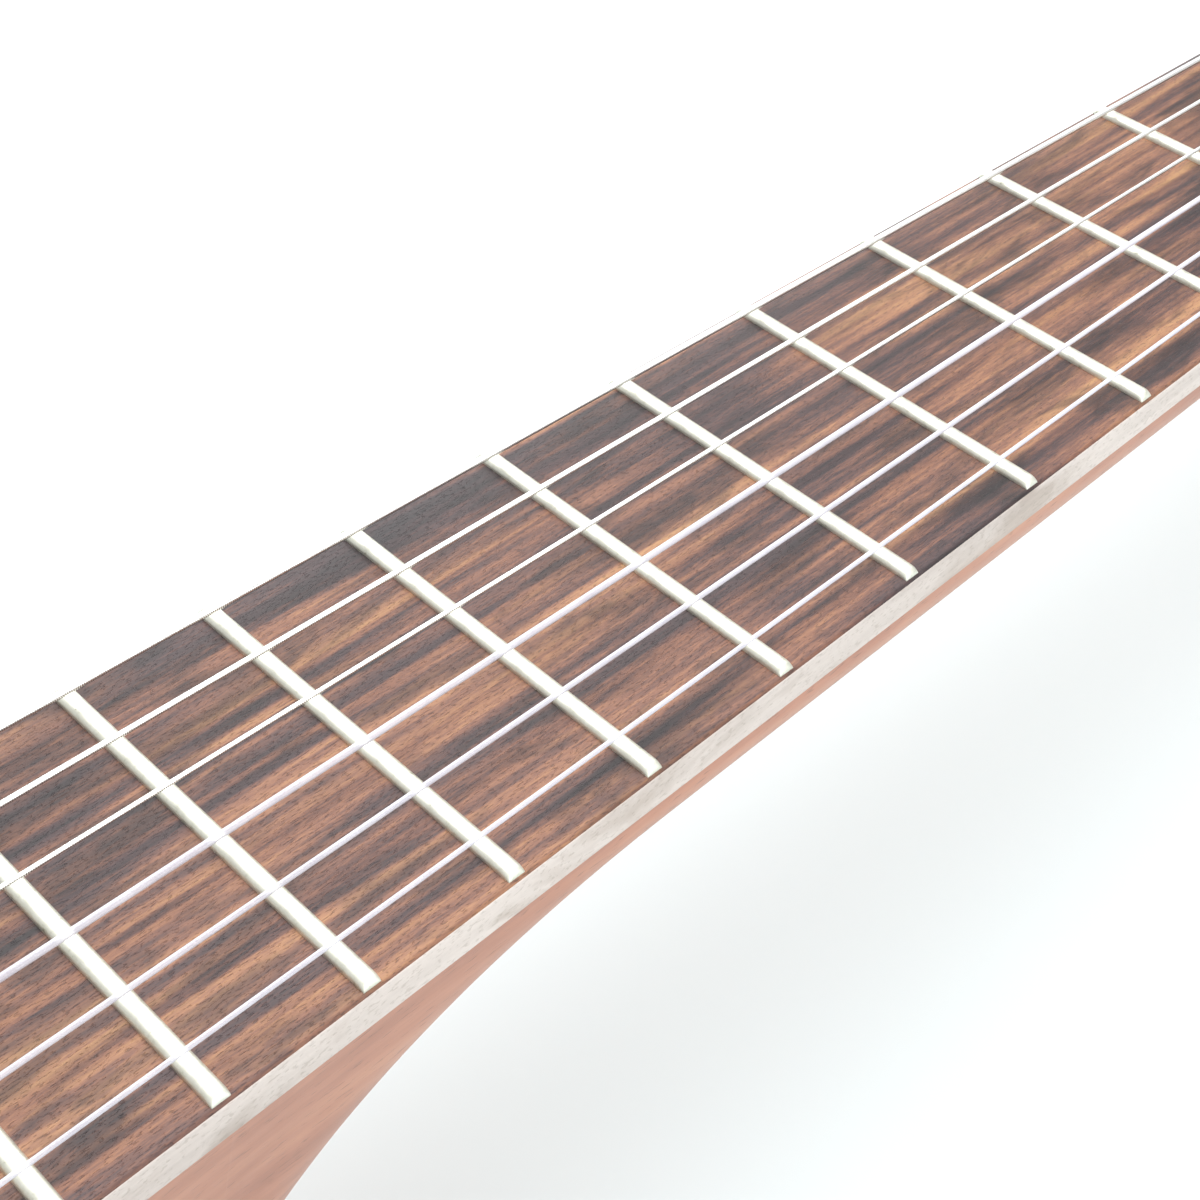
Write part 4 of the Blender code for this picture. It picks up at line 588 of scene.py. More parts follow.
fret = {
    **mm({"height": 1.15, "halfCrown": 1.35, "bassInset": 1.2, "trebleInset": 0.5}), "steps": 14,
    # each end as mm in from it and the share of the full height there
    "end": [(0, 0.10), (0.10, 0.34), (0.28, 0.58), (0.52, 0.78), (0.80, 0.92), (1.15, 0.985), (1.6, 1.0)],
}
for number in range(1, 20):
    low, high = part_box(f"fret_{number:02d}")
    middle = (low.x + high.x) / 2
    start, end = fret["trebleInset"] - boardHalf(middle), boardHalf(middle) - fret["bassInset"]
    rings = []
    for y, share in [(start + mm(d), s) for d, s in fret["end"]] + [(end - mm(d), s) for d, s in reversed(fret["end"])]:
        ring = []
        for i in range(fret["steps"] + 1):
            a = pi * i / fret["steps"]
            rise = fret["height"] * share * sin(a) ** 0.75 if 0 < i < fret["steps"] else 0
            ring.append((middle + fret["halfCrown"] * (0.9 + 0.1 * share) * cos(a), y, boardTop - 0.00005 + rise))
        rings.append(ring)
    part(f"fretWire{number:02d}", loft(rings), fretMetal, "fret_metal", f"fret_{number:02d}", smooth=50)
print("fretboard and frets made")


# neck and headstock

neck = mm({"depthAtNut": 15, "depthAtHeel": 17, "heelLength": 88, "heelFoot": 20, "capClearance": 0.8, "play": 0.2})
# points from an edge to the middle of the back, rings along the plain part and along the heel
neckCounts = {"half": 22, "stations": 26, "heelStations": 44}
head = mm({
    "length": 185, "width": 70, "thickness": 20, "veneer": 2, "flare": 30, "rib": 16, "shoulder": (8, 0.6),
    "slotWidth": 16, "slotStart": 26, "slotLength": 124, "rootReach": 9, "ease": 1.2,
    # crest at the tip: distance back from it, distance in from the side
    "crest": [(22, 0), (14, 0.8), (8.5, 4.5), (8, 9.5), (6.2, 15), (3, 21.5), (0.8, 28.5), (0, 34)],
})
tuner = mm({
    "first": 56, "spacing": 35, "depth": 10, "rollerRadius": 5, "journal": 5, "seat": 35, "plate": 1.2,
    "plateHalf": 7.5, "axle": 2.5, "shaft": 1.4, "collar": 2.3, "wormPitch": 2.4, "gearPitch": 5.6, "gearWidth": 3.4,
    "addendum": 0.7, "dedendum": 1.0, "backlash": 0.18, "buttonDrop": 30, "button": (8.5, 5.6, 7.2), "ear": 1.4,
    "windingGap": 0.5,
    "windingStarts": (4.5, -2.5, -4.0),  # from the slot's middle, by roller from the nut
    "rollerEdge": 0.4, "groove": (33.8, 34.4, 0.7),  # a groove near the barrel's outer end: start, end, depth
})
teeth, windingTurns, stepsPerTurn = 14, 2, 28
rollers = []  # number, distance from the headstock's start, side, rank from the nut
for number in range(1, 7):
    side, rank = (-1, number - 1) if number < 4 else (1, 6 - number)
    rollers.append((number, tuner["first"] + tuner["spacing"] * rank, side, rank))


def eased(t):
    return t * t * (3 - 2 * t)


def neckRing(fromNut):
    # flat on top, round below; the heel gets deeper and narrows towards the back
    start = jointFromNut - neck["heelLength"]
    grow = min(1.0, max(0.0, (fromNut - start) / (neck["heelLength"] - neck["heelFoot"])))
    base = neck["depthAtNut"] + (neck["depthAtHeel"] - neck["depthAtNut"]) * fromNut / jointFromNut
    full = topZ - neck["capClearance"]
    depth = base + (full - base) * (1 - (1 - grow ** 2.2) ** 0.55)
    ring, count, power = [], neckCounts["half"], 0.86 - 0.40 * grow
    for i in range(2 * count + 1):
        a = pi * i / (2 * count)
        down = sin(a) ** power if 0 < i < 2 * count else 0.0
        side = abs(cos(a)) ** power * (-1 if i < count else 1)
        narrow = 1 - 0.52 * grow * min(1.0, depth * down / full) ** 0.8
        ring.append((nutX - fromNut, (boardHalf(nutX - fromNut) - neck["play"]) * side * narrow, topZ - depth * down))
    return ring


def headOutline():
    # a flared shoulder and a crested tip, both rounded off
    half, (run, rise) = head["width"] / 2, head["shoulder"]
    side = [(0.0, nutHalf)]
    for t in [i / 12 for i in range(13)]:
        side.append((run + (head["flare"] - run) * t, nutHalf + rise + (half - nutHalf - rise) * eased(t)))
    tip = [side.pop()] + [(head["length"] - back, half - drop) for back, drop in head["crest"]]
    for _ in range(2):
        corners = [tuple(p * (1 - s) + q * s for p, q in zip(a, b)) for a, b in zip(tip, tip[1:]) for s in (0.25, 0.75)]
        tip = [tip[0]] + corners + [tip[-1]]
    side += tip
    return side + [(x, -y) for x, y in reversed(side)]


def headSlot(side, low, high):
    radius = head["slotWidth"] / 2
    y, near = side * (head["rib"] / 2 + radius), head["slotStart"] + radius
    far = near + head["slotLength"] - 2 * radius
    ends = arc(radius, pi / 2, pi, 16, near, y) + arc(radius, -pi / 2, pi, 16, far, y)
    return moved(prism(ends, low, high), headFrame)


heelStart, heelRun = jointFromNut - neck["heelLength"], neck["heelLength"] - neck["heelFoot"]
stations = [-0.005] + [heelStart * i / neckCounts["stations"] for i in range(1, neckCounts["stations"] + 1)]
heelCount = neckCounts["heelStations"]
stations += [heelStart + heelRun * sin(pi / 2 * i / heelCount) for i in range(1, heelCount + 1)] + [jointFromNut - gap]
low, high = -head["thickness"], -head["veneer"] - gap
rings = []
for share, distance in ((0.0, 1.0), (0.012, 0.62), (0.035, 0.30), (0.070, 0.08), (0.11, 0.0), (1.0, 0.0)):
    ring = []  # the block under the facing narrows and reaches back to meet the neck's round
    for x, y in inset(headOutline(), distance * head["ease"]):
        full = 0.60 + 0.40 * eased(min(1.0, max(0.0, x) / head["flare"]))
        reach = -head["rootReach"] + (head["rootReach"] - 0.0004) * share
        ring.append((x if x > 0.001 else reach, y * (full + (1 - full) * share), low + (high - low) * share))
    rings.append(ring)
bore = rod(head["rib"] / 2 - tuner["journal"] - gap, 0.045, tuner["rollerRadius"] + gap, 28)
places = [headFrame @ shift(x, 0, -tuner["depth"]) @ turnTo(0, side, 0) for _, x, side, _ in rollers]
neckPiece = carved("neckAndHead", loft([neckRing(s) for s in stations]), mahogany, "mahogany", "neck",
                   *[moved(bore, place) for place in places], *[headSlot(side, low - 0.01, 0.02) for side in (1, -1)],
                   added=[moved(loft(rings), headFrame)], smooth=32)
neckPiece.modifiers.new("flatFaces", "WEIGHTED_NORMAL").keep_sharp = True

lean = head["veneer"] * tan(headAngle)
facing = prism([(max(x, lean), y) for x, y in headOutline()], -head["veneer"], 0)
soften(carved("headFacing", moved(facing, headFrame), rosewoodPlate, "rosewood", "headstock_veneer",
              *[headSlot(side, -0.01, 0.01) for side in (1, -1)]), 0.0004, 3, 35)
print("neck and headstock made")


# strings

strings = mm({
    "diameters": (0.72, 0.82, 1.02, 0.76, 0.91, 1.10), "spreadAtNut": 42.5, "spreadAtSaddle": 60, "saddle": 651.5,
    "heightAtNut": 2.3, "heightAt12": 4.3, "leavesNut": 5.4,
    "thinner": 0.04,  # drawn a hair thin, so that a rounder string stays inside the CAD one's height
    "loose": 0.6, "bend": 1.2,  # room between the two legs of a tie, reach of the bend before the saddle
})
bridge = mm({
    "front": 645, "back": 674, "half": 92.5, "wing": 3.8, "slope": 4, "slopeDrop": 1.4, "ridgeBack": 654.5,
    "ridge": 7.8, "blockFront": 662, "block": 8.5, "blockHalf": 42, "channel": 3, "tieHole": 5, "mouth": 1.1,
    "tipIn": 1.2, "tipDown": 1.4, "ridgeRound": 1.6, "blockRound": 1.2, "slotHalf": (1.5, 40.3), "slotDepth": 5.8,
    "strip": 1.4,
})
base = topZ + gap


def stringSpot(number, fromNut):
    spread = strings["spreadAtNut"] + (strings["spreadAtSaddle"] - strings["spreadAtNut"]) * fromNut / strings["saddle"]
    rise = (strings["heightAt12"] - strings["heightAtNut"]) / jointFromNut
    height = boardTop + strings["heightAtNut"] + rise * fromNut
    return Vector((nutX - fromNut, spread * ((number - 1) / 5 - 0.5), height))


def sweep(name, points, radius, sides, *look):
    normal, rings = None, []
    for i, here in enumerate(points):
        before, after = points[max(0, i - 1)], points[min(len(points) - 1, i + 1)]
        heading = ((here - before).normalized() + (after - here).normalized()).normalized()
        normal = normal or heading.orthogonal().normalized()
        normal = (normal - heading * normal.dot(heading)).normalized()
        other = heading.cross(normal)
        rings.append([here + (normal * x + other * y) * radius for x, y in circle(1, sides)])
    return layGrain(part(name, loft(rings), *look, smooth=60), rings)


def flowing(points, steps):
    # a smooth line through points, each stretch led by its four nearest ones
    result = []
    for i in range(len(points) - 1):
        a, b, c, d = points[max(0, i - 1)], points[i], points[i + 1], points[min(len(points) - 1, i + 2)]
        for t in [k / steps for k in range(steps)]:
            second, third = 2 * a - 5 * b + 4 * c - d, 3 * b - a - 3 * c + d
            result.append(0.5 * (2 * b + (c - a) * t + second * t * t + third * t ** 3))
    return result + [points[-1]]


def stringTie(number):
    # through the tie block, back over it and once round the string itself
    radius = strings["diameters"][number - 1] / 2
    apart = 2 * radius + strings["loose"]
    back, front, hole = bridge["back"], bridge["blockFront"], base + bridge["tieHole"]
    top = base + bridge["block"] + gap + radius
    saddle = stringSpot(number, strings["saddle"])
    fall = (saddle.z - hole) / (front - 0.0006 - strings["saddle"])
    under = saddle.z - fall * (front - 0.0026 - strings["saddle"]) - 1.35 * apart
    half = (top + under) / 2
    # distance from the nut, mm more towards the tail, gaps sideways, height, mm more up
    route = [
        (back, -4.5, -0.95, top, 0), (front, 1, -1.05, top, 0.1), (front, -0.8, -1.10, top, -0.4),
        (front, -2, -1.10, half, 0), (front, -2.6, -0.80, under, 0), (front, -2.6, 0.80, under, 0),
        (front, -2, 1.10, half, 0), (front, -0.8, 1.10, top, -0.4), (front, 1, 1.00, top, 0.1),
        (back, -0.4, 0.45, top, 0.1), (back, 1.3, 0.30, top, -1.2), (back, 1.4, 0.05, hole, 0.8),
        (back, 0.2, 0, hole, 0), (front, -0.6, 0, hole, 0),
    ]
    tie = flowing([Vector((nutX - x - mm(d), saddle.y + y * apart, z + mm(up))) for x, d, y, z, up in route], 5)
    bend = strings["bend"]
    return tie + [saddle + Vector((x, 0, z)) for x, z in ((-bend, -bend * fall * 0.5), (-bend / 3, 0), (bend / 2, 0))]


tailHoles = {}  # where each roller's string hole is, sideways and along the roller


def stringWinding(number):
    # from the nut's rear edge down to the roller, two turns round it and a trimmed tail, free of the roller
    diameter = strings["diameters"][number - 1]
    _, x, side, rank = rollers[number - 1]
    leave = headFrame.inverted() @ stringSpot(number, -strings["leavesNut"])
    first = (head["rib"] + head["slotWidth"]) / 2 + tuner["windingStarts"][rank]
    outward = -1 if rank == 0 else 1
    radius = tuner["rollerRadius"] + diameter / 2 + 0.00003
    run, rise = leave.x - x, leave.z + tuner["depth"]
    begin = atan2(rise, run) - acos(radius / hypot(run, rise))
    whole = 2 * pi * windingTurns
    extra = (begin - whole + pi / 2) % pi  # on to the next end of the hole, straight above or below the axis
    count = round((whole + extra) / (2 * pi) * stepsPerTurn)
    points = [leave]
    for i in range(count + 1):
        a = begin - (whole + extra) * i / count
        y = side * (first + outward * (diameter + tuner["windingGap"]) * windingTurns * i / count)
        points.append(Vector((x + radius * cos(a), y, -tuner["depth"] + radius * sin(a))))
    up = 1 if sin(begin - whole - extra) > 0 else -1
    end = points[-1]
    tail = mm([(0.6, 0.05), (1.4, 0.2), (2.2, 0.5), (2.9, 0.8)])  # onward and away from the roller
    points += [end + Vector((up * onward, 0, up * away)) for onward, away in tail]
    tailHoles[number] = (up * 0.0014, end.y)
    return [headFrame @ point for point in points]


for number in range(1, 7):
    played = [stringSpot(number, strings["saddle"] * (1 - i / 40)) for i in range(1, 41)]
    look = (nylonClear, "nylon") if number < 4 else (woundSilver, "silver_winding")
    route, radius = stringTie(number) + played + stringWinding(number), strings["diameters"][number - 1] / 2
    sweep(f"playedString{number}", route, radius - strings["thinner"], 16, *look, f"string_{number}")
print("strings made")


# nut and saddle

low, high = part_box("nut")
crown = [(nutHalf, high.z - 0.0008), (nutHalf - 0.0003, high.z - 0.0003), (nutHalf - 0.0009, high.z)]
profile = [(-nutHalf, low.z), (nutHalf, low.z)] + crown
for number in range(6, 0, -1):  # a round-bottomed notch for each string, half its depth above the string's middle
    spot, radius = stringSpot(number, 0), strings["diameters"][number - 1] / 2 + 0.00005
    profile += [(spot.y + radius, high.z)] + arc(radius, 0, -pi, 8, spot.y, spot.z) + [(spot.y - radius, high.z)]
profile += [(-y, z) for y, z in reversed(crown)]
# share of the thickness from the rear, mm down at the top
worn = ((0.0, 0.9), (0.04, 0.4), (0.12, 0.1), (0.25, 0), (0.6, 0.2), (0.88, 0.7), (0.96, 1.0), (1.0, 1.6))
rings = [[(low.x + (high.x - low.x) * share, y, z - (mm(drop) if z > boardTop + 0.0024 else 0)) for y, z in profile]
         for share, drop in worn]
part("boneNut", loft(rings), bone, "bone", "nut")

low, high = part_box("saddle")
middle, half = (low.x + high.x) / 2, (high.x - low.x) / 2
rings = []
# share of the length, mm down at the top
ends = ((0.0, 1.6), (0.004, 0.7), (0.012, 0.2), (0.03, 0), (0.97, 0), (0.988, 0.2), (0.996, 0.7), (1.0, 1.6))
for share, fall in ends:
    spots = [(middle - half, low.z), (middle + half, low.z)] + arc(half, 0, pi, 18, middle, high.z - half - mm(fall))
    rings.append([(x, low.y + (high.y - low.y) * share, z) for x, z in spots])
part("boneSaddle", loft(rings), bone, "bone", "saddle")
print("nut and saddle made")


# body

shell = mm({
    "length": 490, "low": 355, "waist": (200, 120), "upper": (108, 140), "lower": 185, "horn": 62, "scoop": 84,
    "wall": 2.7, "edge": 2.3, "step": 1.1, "bindingWidth": 2.0, "bindingHeight": 5.5, "bindingRound": 0.7, "top": 2.6,
    "back": 2.8, "liningWidth": 5.2, "liningHeight": 15, "liningStrip": 1.2,
    "line": 0.45, "sideLine": 0.6,  # the thin lines between binding and top, and between binding and sides
    "brace": (7, 13), "braceClear": 6, "fan": (5, 5), "fanLength": 190, "fanSpacing": 30, "bars": (112, 230, 355),
})
joint, tail = nutX - jointFromNut, nutX - jointFromNut - shell["length"]
flank = boardHalf(joint)


def bodyCurve(finer=5):
    # the outline as a chain of curves from the neck joint
    low, lowerHalf, (waist, waistHalf), (upper, upperHalf) = (
        shell[size] for size in ("low", "lower", "waist", "upper"))
    # distance from the joint, half width, heading in degrees, steps of the CAD outline, each drawn finer here
    knots = [
        (0, -flank + 0.003, 90, 1), (0, flank, 90, 8), (upper, upperHalf, 0, 5), (waist, waistHalf, 0, 7),
        (low, lowerHalf, 0, 9), (shell["length"], 0, -90, 9), (low, -lowerHalf, 180, 7), (waist, -waistHalf, 180, 5),
        (upper + 0.010, -upperHalf, 180, 6), (shell["horn"], -upperHalf + 0.036, 90, 4),
        (shell["scoop"], -flank - 0.034, 90, 5), (0.040, -flank - 0.0065, 172, 2), (0.011, -flank - 0.0045, 178, 3),
    ]
    points = []
    for start, end in zip(knots, knots[1:] + knots[:1]):
        pull = 0.4 * hypot(end[0] - start[0], end[1] - start[1])
        a, b = radians(start[2]), radians(end[2])
        p0, p3 = Vector(start[:2]), Vector(end[:2])
        p1, p2 = p0 + pull * Vector((cos(a), sin(a))), p3 - pull * Vector((cos(b), sin(b)))
        for i in range(start[3] * finer):
            t = i / (start[3] * finer)
            s = 1 - t
            spot = s ** 3 * p0 + 3 * s * s * t * p1 + 3 * s * t * t * p2 + t ** 3 * p3
            points.append((joint - spot.x, spot.y))
    return points


outline = bodyCurve()
insets = {}


def insetAt(distance):
    if distance not in insets:
        insets[distance] = inset(outline, distance)
    return insets[distance]


def rim(name, section, material, slot, node, *holes, smooth=35):
    # a band round the body from pairs of distance inward and height
    rings = [[(*insetAt(d)[i], z) for d, z in section] for i in range(len(outline))]
    piece = layGrain(meshPiece(name, loft(rings, closed=True), material), rings)
    return fit(shade(cut(piece, *holes), smooth), node)


panel = mm({
    "halfX": 39, "halfY": 32, "thickness": 3.2, "housing": 22.5, "inset": 4, "corner": 4, "doorAxis": (34.5, 1.7),
    "doorHalf": 27, "doorRadius": 1.1, "doorReach": 32, "play": 0.4, "bay": (3.8, 33.3, 26, 21.5), "pin": 0.7,
    "pinEnd": 29.4, "pinRoom": 29.7, "knobX": -21.5, "knobSpacing": 18.5, "knobRadius": 5.8, "knobHeight": 8.5,
    "shaft": 3.0, "shaftLength": 3.8, "markStart": 7.0, "marks": (1.0, 1.6), "markHalf": 0.18,
    "screwSpot": (36.8, 29.8), "lensSpot": (-5.0, 24.5),
})
# the panel leans with the flank that it sits in
tangent, outward = Vector((-0.97280020, -0.23164524, 0)), Vector((-0.23164524, 0.97280020, 0))
knobAxis = Vector(next(j["pos_m"] for j in behaviour["joints"] if j["name"] == "treble_knob_turn"))
panelFrame = Matrix((tangent, (0, 0, 1), outward)).transposed().to_4x4()
panelFrame.translation = knobAxis - tangent * panel["knobX"] - outward * panel["thickness"]
jackFrame = shift(tail, 0, topZ / 2) @ turnTo(-1, 0, 0)
jackHole = moved(rod(-0.1, 0.1, 0.0063, 48), jackFrame)
room = panel["inset"] - 2 * gap
reachX, reachY = panel["halfX"] - room, panel["halfY"] - room
housingHole = moved(box(-reachX, reachX, -reachY, reachY, -panel["housing"] - 2 * gap, 0.02), panelFrame)

lowEdge, highEdge = shell["bindingHeight"] + gap, topZ - shell["bindingHeight"] - gap
wall, edge, step, line = shell["wall"], shell["edge"], shell["step"], shell["sideLine"]
underTop, backTop = topZ - shell["top"], shell["back"]
rim("sidesBent", [
    (0, lowEdge + line), (0, highEdge - line), (step, highEdge - line), (step, highEdge), (edge, highEdge),
    (edge, underTop - gap), (wall, underTop - gap), (wall, backTop + gap), (edge, backTop + gap), (edge, lowEdge),
    (step, lowEdge), (step, lowEdge + line),
], rosewoodBent, "rosewood_body", "sides", housingHole, jackHole, smooth=30)
for name, low in (("sideLineTop", highEdge - line), ("sideLineBack", lowEdge)):
    rim(name, [(0, low), (0, low + line), (step, low + line), (step, low)], maple, "inlay", "sides")

# linings: small blocks on a thin strip, sawn almost through so that they bend
inner, root, thin = (insetAt(wall + width) for width in (shell["liningWidth"], 0.0, shell["liningStrip"]))
for name, low, high in (("liningTop", underTop - shell["liningHeight"], underTop - gap),
                        ("liningBack", shell["liningHeight"] + backTop, backTop + gap)):
    rings = []
    for i in range(len(outline)):
        for share, side in ((0.0, inner), (0.78, inner), (0.80, thin), (0.98, thin)):
            near, far = (Vector(spots[i]).lerp(Vector(spots[(i + 1) % len(outline)]), share) for spots in (root, side))
            slant, foot = high + (low - high) * 0.34, near.lerp(far, 0.22)
            rings.append([(*near, low), (*near, high), (*far, high), (*far, slant), (*foot, low)])
    layGrain(part(name, loft(rings, closed=True), limeBent, "inner_wood", "sides", smooth=20), rings)

# bindings with the corner scraped round, and three thin lines inside the top one
for name, node, face, sign in (("bindingTop", "top_binding", topZ, -1), ("bindingBack", "back_binding", 0, 1)):
    foot, width = face + sign * shell["bindingHeight"], shell["bindingWidth"]
    rounded = [(d, face + sign * rise) for d, rise in quarter(shell["bindingRound"], 4)]
    rim(name, [(0, foot)] + rounded + [(width, face), (width, foot)], ebony, "binding", node)
for i, (name, material) in enumerate((("lineOuter", maple), ("lineMiddle", ebony), ("lineInner", maple))):
    start, end = edge + i * shell["line"], edge + (i + 1) * shell["line"]
    rim(name, [(start, underTop), (start, topZ), (end, topZ), (end, underTop)], material, "inlay", "soundboard")

# soundboard, its hole softened by hand, and the rosette's channel
hole = {**mm({"x": -162.837, "radius": 42.5, "ring": 48, "ringWidth": 13, "ringDepth": 1.0}), "steps": 144}
ringEnd = hole["ring"] + hole["ringWidth"]


def ringBand(inner, outer, low, high):
    section = ((inner, low), (outer, low), (outer, high), (inner, high))
    return [[(hole["x"] + r * x, r * y, z) for r, z in section] for x, y in circle(1, hole["steps"])]


# mm up from the top face, mm out from the hole's edge
mouth = [(topZ + mm(up), hole["radius"] + mm(out)) for up, out in ((-0.6, 0), (-0.2, 0.15), (0.2, 0.6), (10, 10.4))]
mouth = [(underTop - 0.01, 0), (underTop - 0.01, hole["radius"])] + mouth + [(topZ + 0.01, 0)]
carved("soundboardPlate", prism(insetAt(edge + 3 * shell["line"]), underTop, topZ), spruce, "spruce", "soundboard",
       moved(turned(mouth, hole["steps"]), shift(hole["x"], 0, 0)),
       loft(ringBand(hole["ring"], ringEnd, topZ - hole["ringDepth"] - gap, topZ + 0.01), closed=True))


def sideReach(x, side):
    best, inner = 0.0, insetAt(0.0045)
    for i, here in enumerate(inner):
        before = inner[i - 1]
        if min(here[0], before[0]) <= x <= max(here[0], before[0]) and here[0] != before[0]:
            y = before[1] + (x - before[0]) / (here[0] - before[0]) * (here[1] - before[1])
            best = y if y * side > best * side else best
    return best


def brace(name, node, start, end, size=shell["brace"], material=crossSpruce):
    # a bar with a rounded back and long scooped ends
    a, b, (width, height) = Vector(start), Vector(end), size
    across = Vector((a.y - b.y, b.x - a.x)).normalized() * width / 2
    foot, up = (underTop, -1) if node == "soundboard" else (backTop, 1)
    half = ((1, 0), (1, 0.45), (0.9, 0.72), (0.62, 0.92), (0.25, 1))
    section = half + tuple((-side, rise) for side, rise in half[::-1])
    rings = []
    for share in [k / 24 for k in range(25)]:
        tall = up * height * (0.22 + 0.78 * eased(min(1, min(share, 1 - share) / 0.18)))
        rings.append([(*(a.lerp(b, share) + across * side), foot + rise * tall) for side, rise in section])
    part(name, loft(rings), material, "inner_wood", node, smooth=50)


def bar(name, node, x):
    clear = shell["liningWidth"] + shell["braceClear"]
    brace(name, node, (x, sideReach(x, -1) + clear), (x, sideReach(x, 1) - clear))


bar("topBar0", "soundboard", joint - shell["scoop"] - wall - shell["liningWidth"] - 0.0050)
bar("topBar1", "soundboard", hole["x"] - ringEnd - 0.008)
start = hole["x"] - ringEnd - 0.020
for i in range(5):
    lean = (i - 2) * shell["fanSpacing"]
    end = (start - shell["fanLength"] + abs(lean) * 0.4, lean * 1.9)
    brace(f"fanBrace{i}", "soundboard", (start, lean), end, shell["fan"], bareSpruce)

# rosette: lines of ebony and maple round a band of small lozenges, a plain repeating marquetry
# mm from its inner edge
bounds = mm([0.3, 0.9, 1.5, 2.0, 10.8, 11.3, 12.1, 12.7])
for i, (inner, outer) in enumerate(zip(bounds, bounds[1:])):
    high = topZ - (0.00008 if i == 3 else 0)
    rings = ringBand(hole["ring"] + inner, hole["ring"] + outer, topZ - hole["ringDepth"], high)
    layGrain(part(f"rosetteLine{i}", loft(rings, closed=True), ebony if i % 2 else maple, "inlay", "rosette"), rings)
lozenges = []
for phase, out, halfAround, halfAcross in ((0.0, 0.0, 2.15, 2.6), (0.5, 3.1, 1.0, 1.0), (0.5, -3.1, 1.0, 1.0)):
    for k in range(72):
        a = 2 * pi * (k + phase) / 72
        radial, around = Vector((cos(a), sin(a))), Vector((-sin(a), cos(a))) * mm(halfAround)
        centre, across = Vector((hole["x"], 0)) + radial * (hole["ring"] + mm(6.4 + out)), radial * mm(halfAcross)
        corners = [centre + around, centre + across, centre - around, centre - across]
        lozenges.append(prism(corners, topZ - 0.0006, topZ))
part("rosetteLozenges", joined(lozenges), mapleFlat, "inlay", "rosette", smooth=0)

# back plate, opened like a book, with a strip let in along the seam and bars inside
strip = {"start": tail + edge + 0.0004, "end": joint - edge - 0.0004,
         **mm({"half": 2.2, "core": 1.0, "depth": 0.8, "film": 0.02})}
channel = box(strip["start"] - gap, strip["end"] + gap, -strip["half"], strip["half"], -0.01, strip["depth"])
carved("backPlate", prism(insetAt(edge), 0, backTop), rosewoodPlate, "rosewood_body", "back_plate", channel)
bounds, film = (-strip["half"], -strip["core"], strip["core"], strip["half"]), strip["film"]
for i, (inner, outer) in enumerate(zip(bounds, bounds[1:])):
    solid = box(strip["start"], strip["end"], inner + film, outer - film, film, strip["depth"])
    part(f"backStrip{i}", solid, ebonyFlat if i == 1 else mapleFlat, "inlay", "back_plate", smooth=0)
for i, fromJoint in enumerate(shell["bars"]):
    bar(f"backBar{i}", "back_plate", joint - fromJoint)
print("body made")


# bridge

front, rear, half = bridge["front"], bridge["back"], bridge["blockHalf"]
blockFront, ridgeBack = bridge["blockFront"], bridge["ridgeBack"]
ridgeTop, blockTop, channelTop = bridge["ridge"], bridge["block"], bridge["channel"]
rings = []
for share in (0.0, 0.004, 0.012, 0.03, 0.07, 0.93, 0.97, 0.988, 0.996, 1.0):
    tip = (1 - min(1.0, min(share, 1 - share) / 0.03)) ** 2
    start, end = front + bridge["tipIn"] * tip, rear - bridge["tipIn"] * tip
    top = bridge["wing"] - bridge["tipDown"] * tip
    curve = [(bridge["slope"] * x, top - bridge["slopeDrop"] * z) for x, z in quarter(1, 5)[::-1]]
    ring = [(end, 0)] + [(end - x, z) for x, z in curve] + [(start + x, z) for x, z in curve[::-1]] + [(start, 0)]
    rings.append([(nutX - x, bridge["half"] * (2 * share - 1), base + z) for x, z in ring])
start, end = front + 0.0004, rear - 0.0002
ridge = [(start, 0.001)] + [(start + x, ridgeTop - z) for x, z in quarter(bridge["ridgeRound"], 5)[::-1]]
ridge += [(ridgeBack, ridgeTop), (ridgeBack, channelTop), (blockFront, channelTop), (blockFront, blockTop)]
ridge += [(end - x, blockTop - z) for x, z in quarter(bridge["blockRound"], 5)] + [(end, 0.001)]
saddleX, mouth, depth = nutX - strings["saddle"], bridge["mouth"], rear - blockFront + 0.001
slotX, slotY = bridge["slotHalf"]
# the tie holes are countersunk at the back
bore = turned([(-0.02, 0), (-0.02, 0.0205), (-0.0001, mouth + 0.0006), (0.0006, mouth), (depth, mouth), (depth, 0)], 28)
tieSpots = [(nutX - rear, stringSpot(number, strings["saddle"]).y, base + bridge["tieHole"]) for number in range(1, 7)]
tieHoles = [moved(bore, Matrix.Translation(spot) @ turnTo(1, 0, 0)) for spot in tieSpots]
soften(carved("bridgeBlock", loft(rings), rosewoodBridge, "rosewood", "bridge",
              box(saddleX - slotX, saddleX + slotX, -slotY, slotY, base + ridgeTop - bridge["slotDepth"], base + 0.02),
              box(nutX - blockFront, nutX - ridgeBack, -half - 0.001, half + 0.001, base + channelTop, base + 0.02),
              *tieHoles, added=[loft([[(nutX - x, y, base + z) for x, z in ridge] for y in (-half, half)])],
              smooth=28), 0.00035)
for name, start in (("edgeStripFront", blockFront + 0.0001), ("edgeStripBack", rear - 2 * bridge["strip"])):
    low, high = base + blockTop - 0.0008, base + blockTop + 0.00015
    strip = box(nutX - start - bridge["strip"], nutX - start, 0.0002 - half, half - 0.0002, low, high)
    soften(part(name, strip, bone, "bone", "bridge", smooth=0), 0.00012, angle=35)
print("bridge made")


# tuning machines

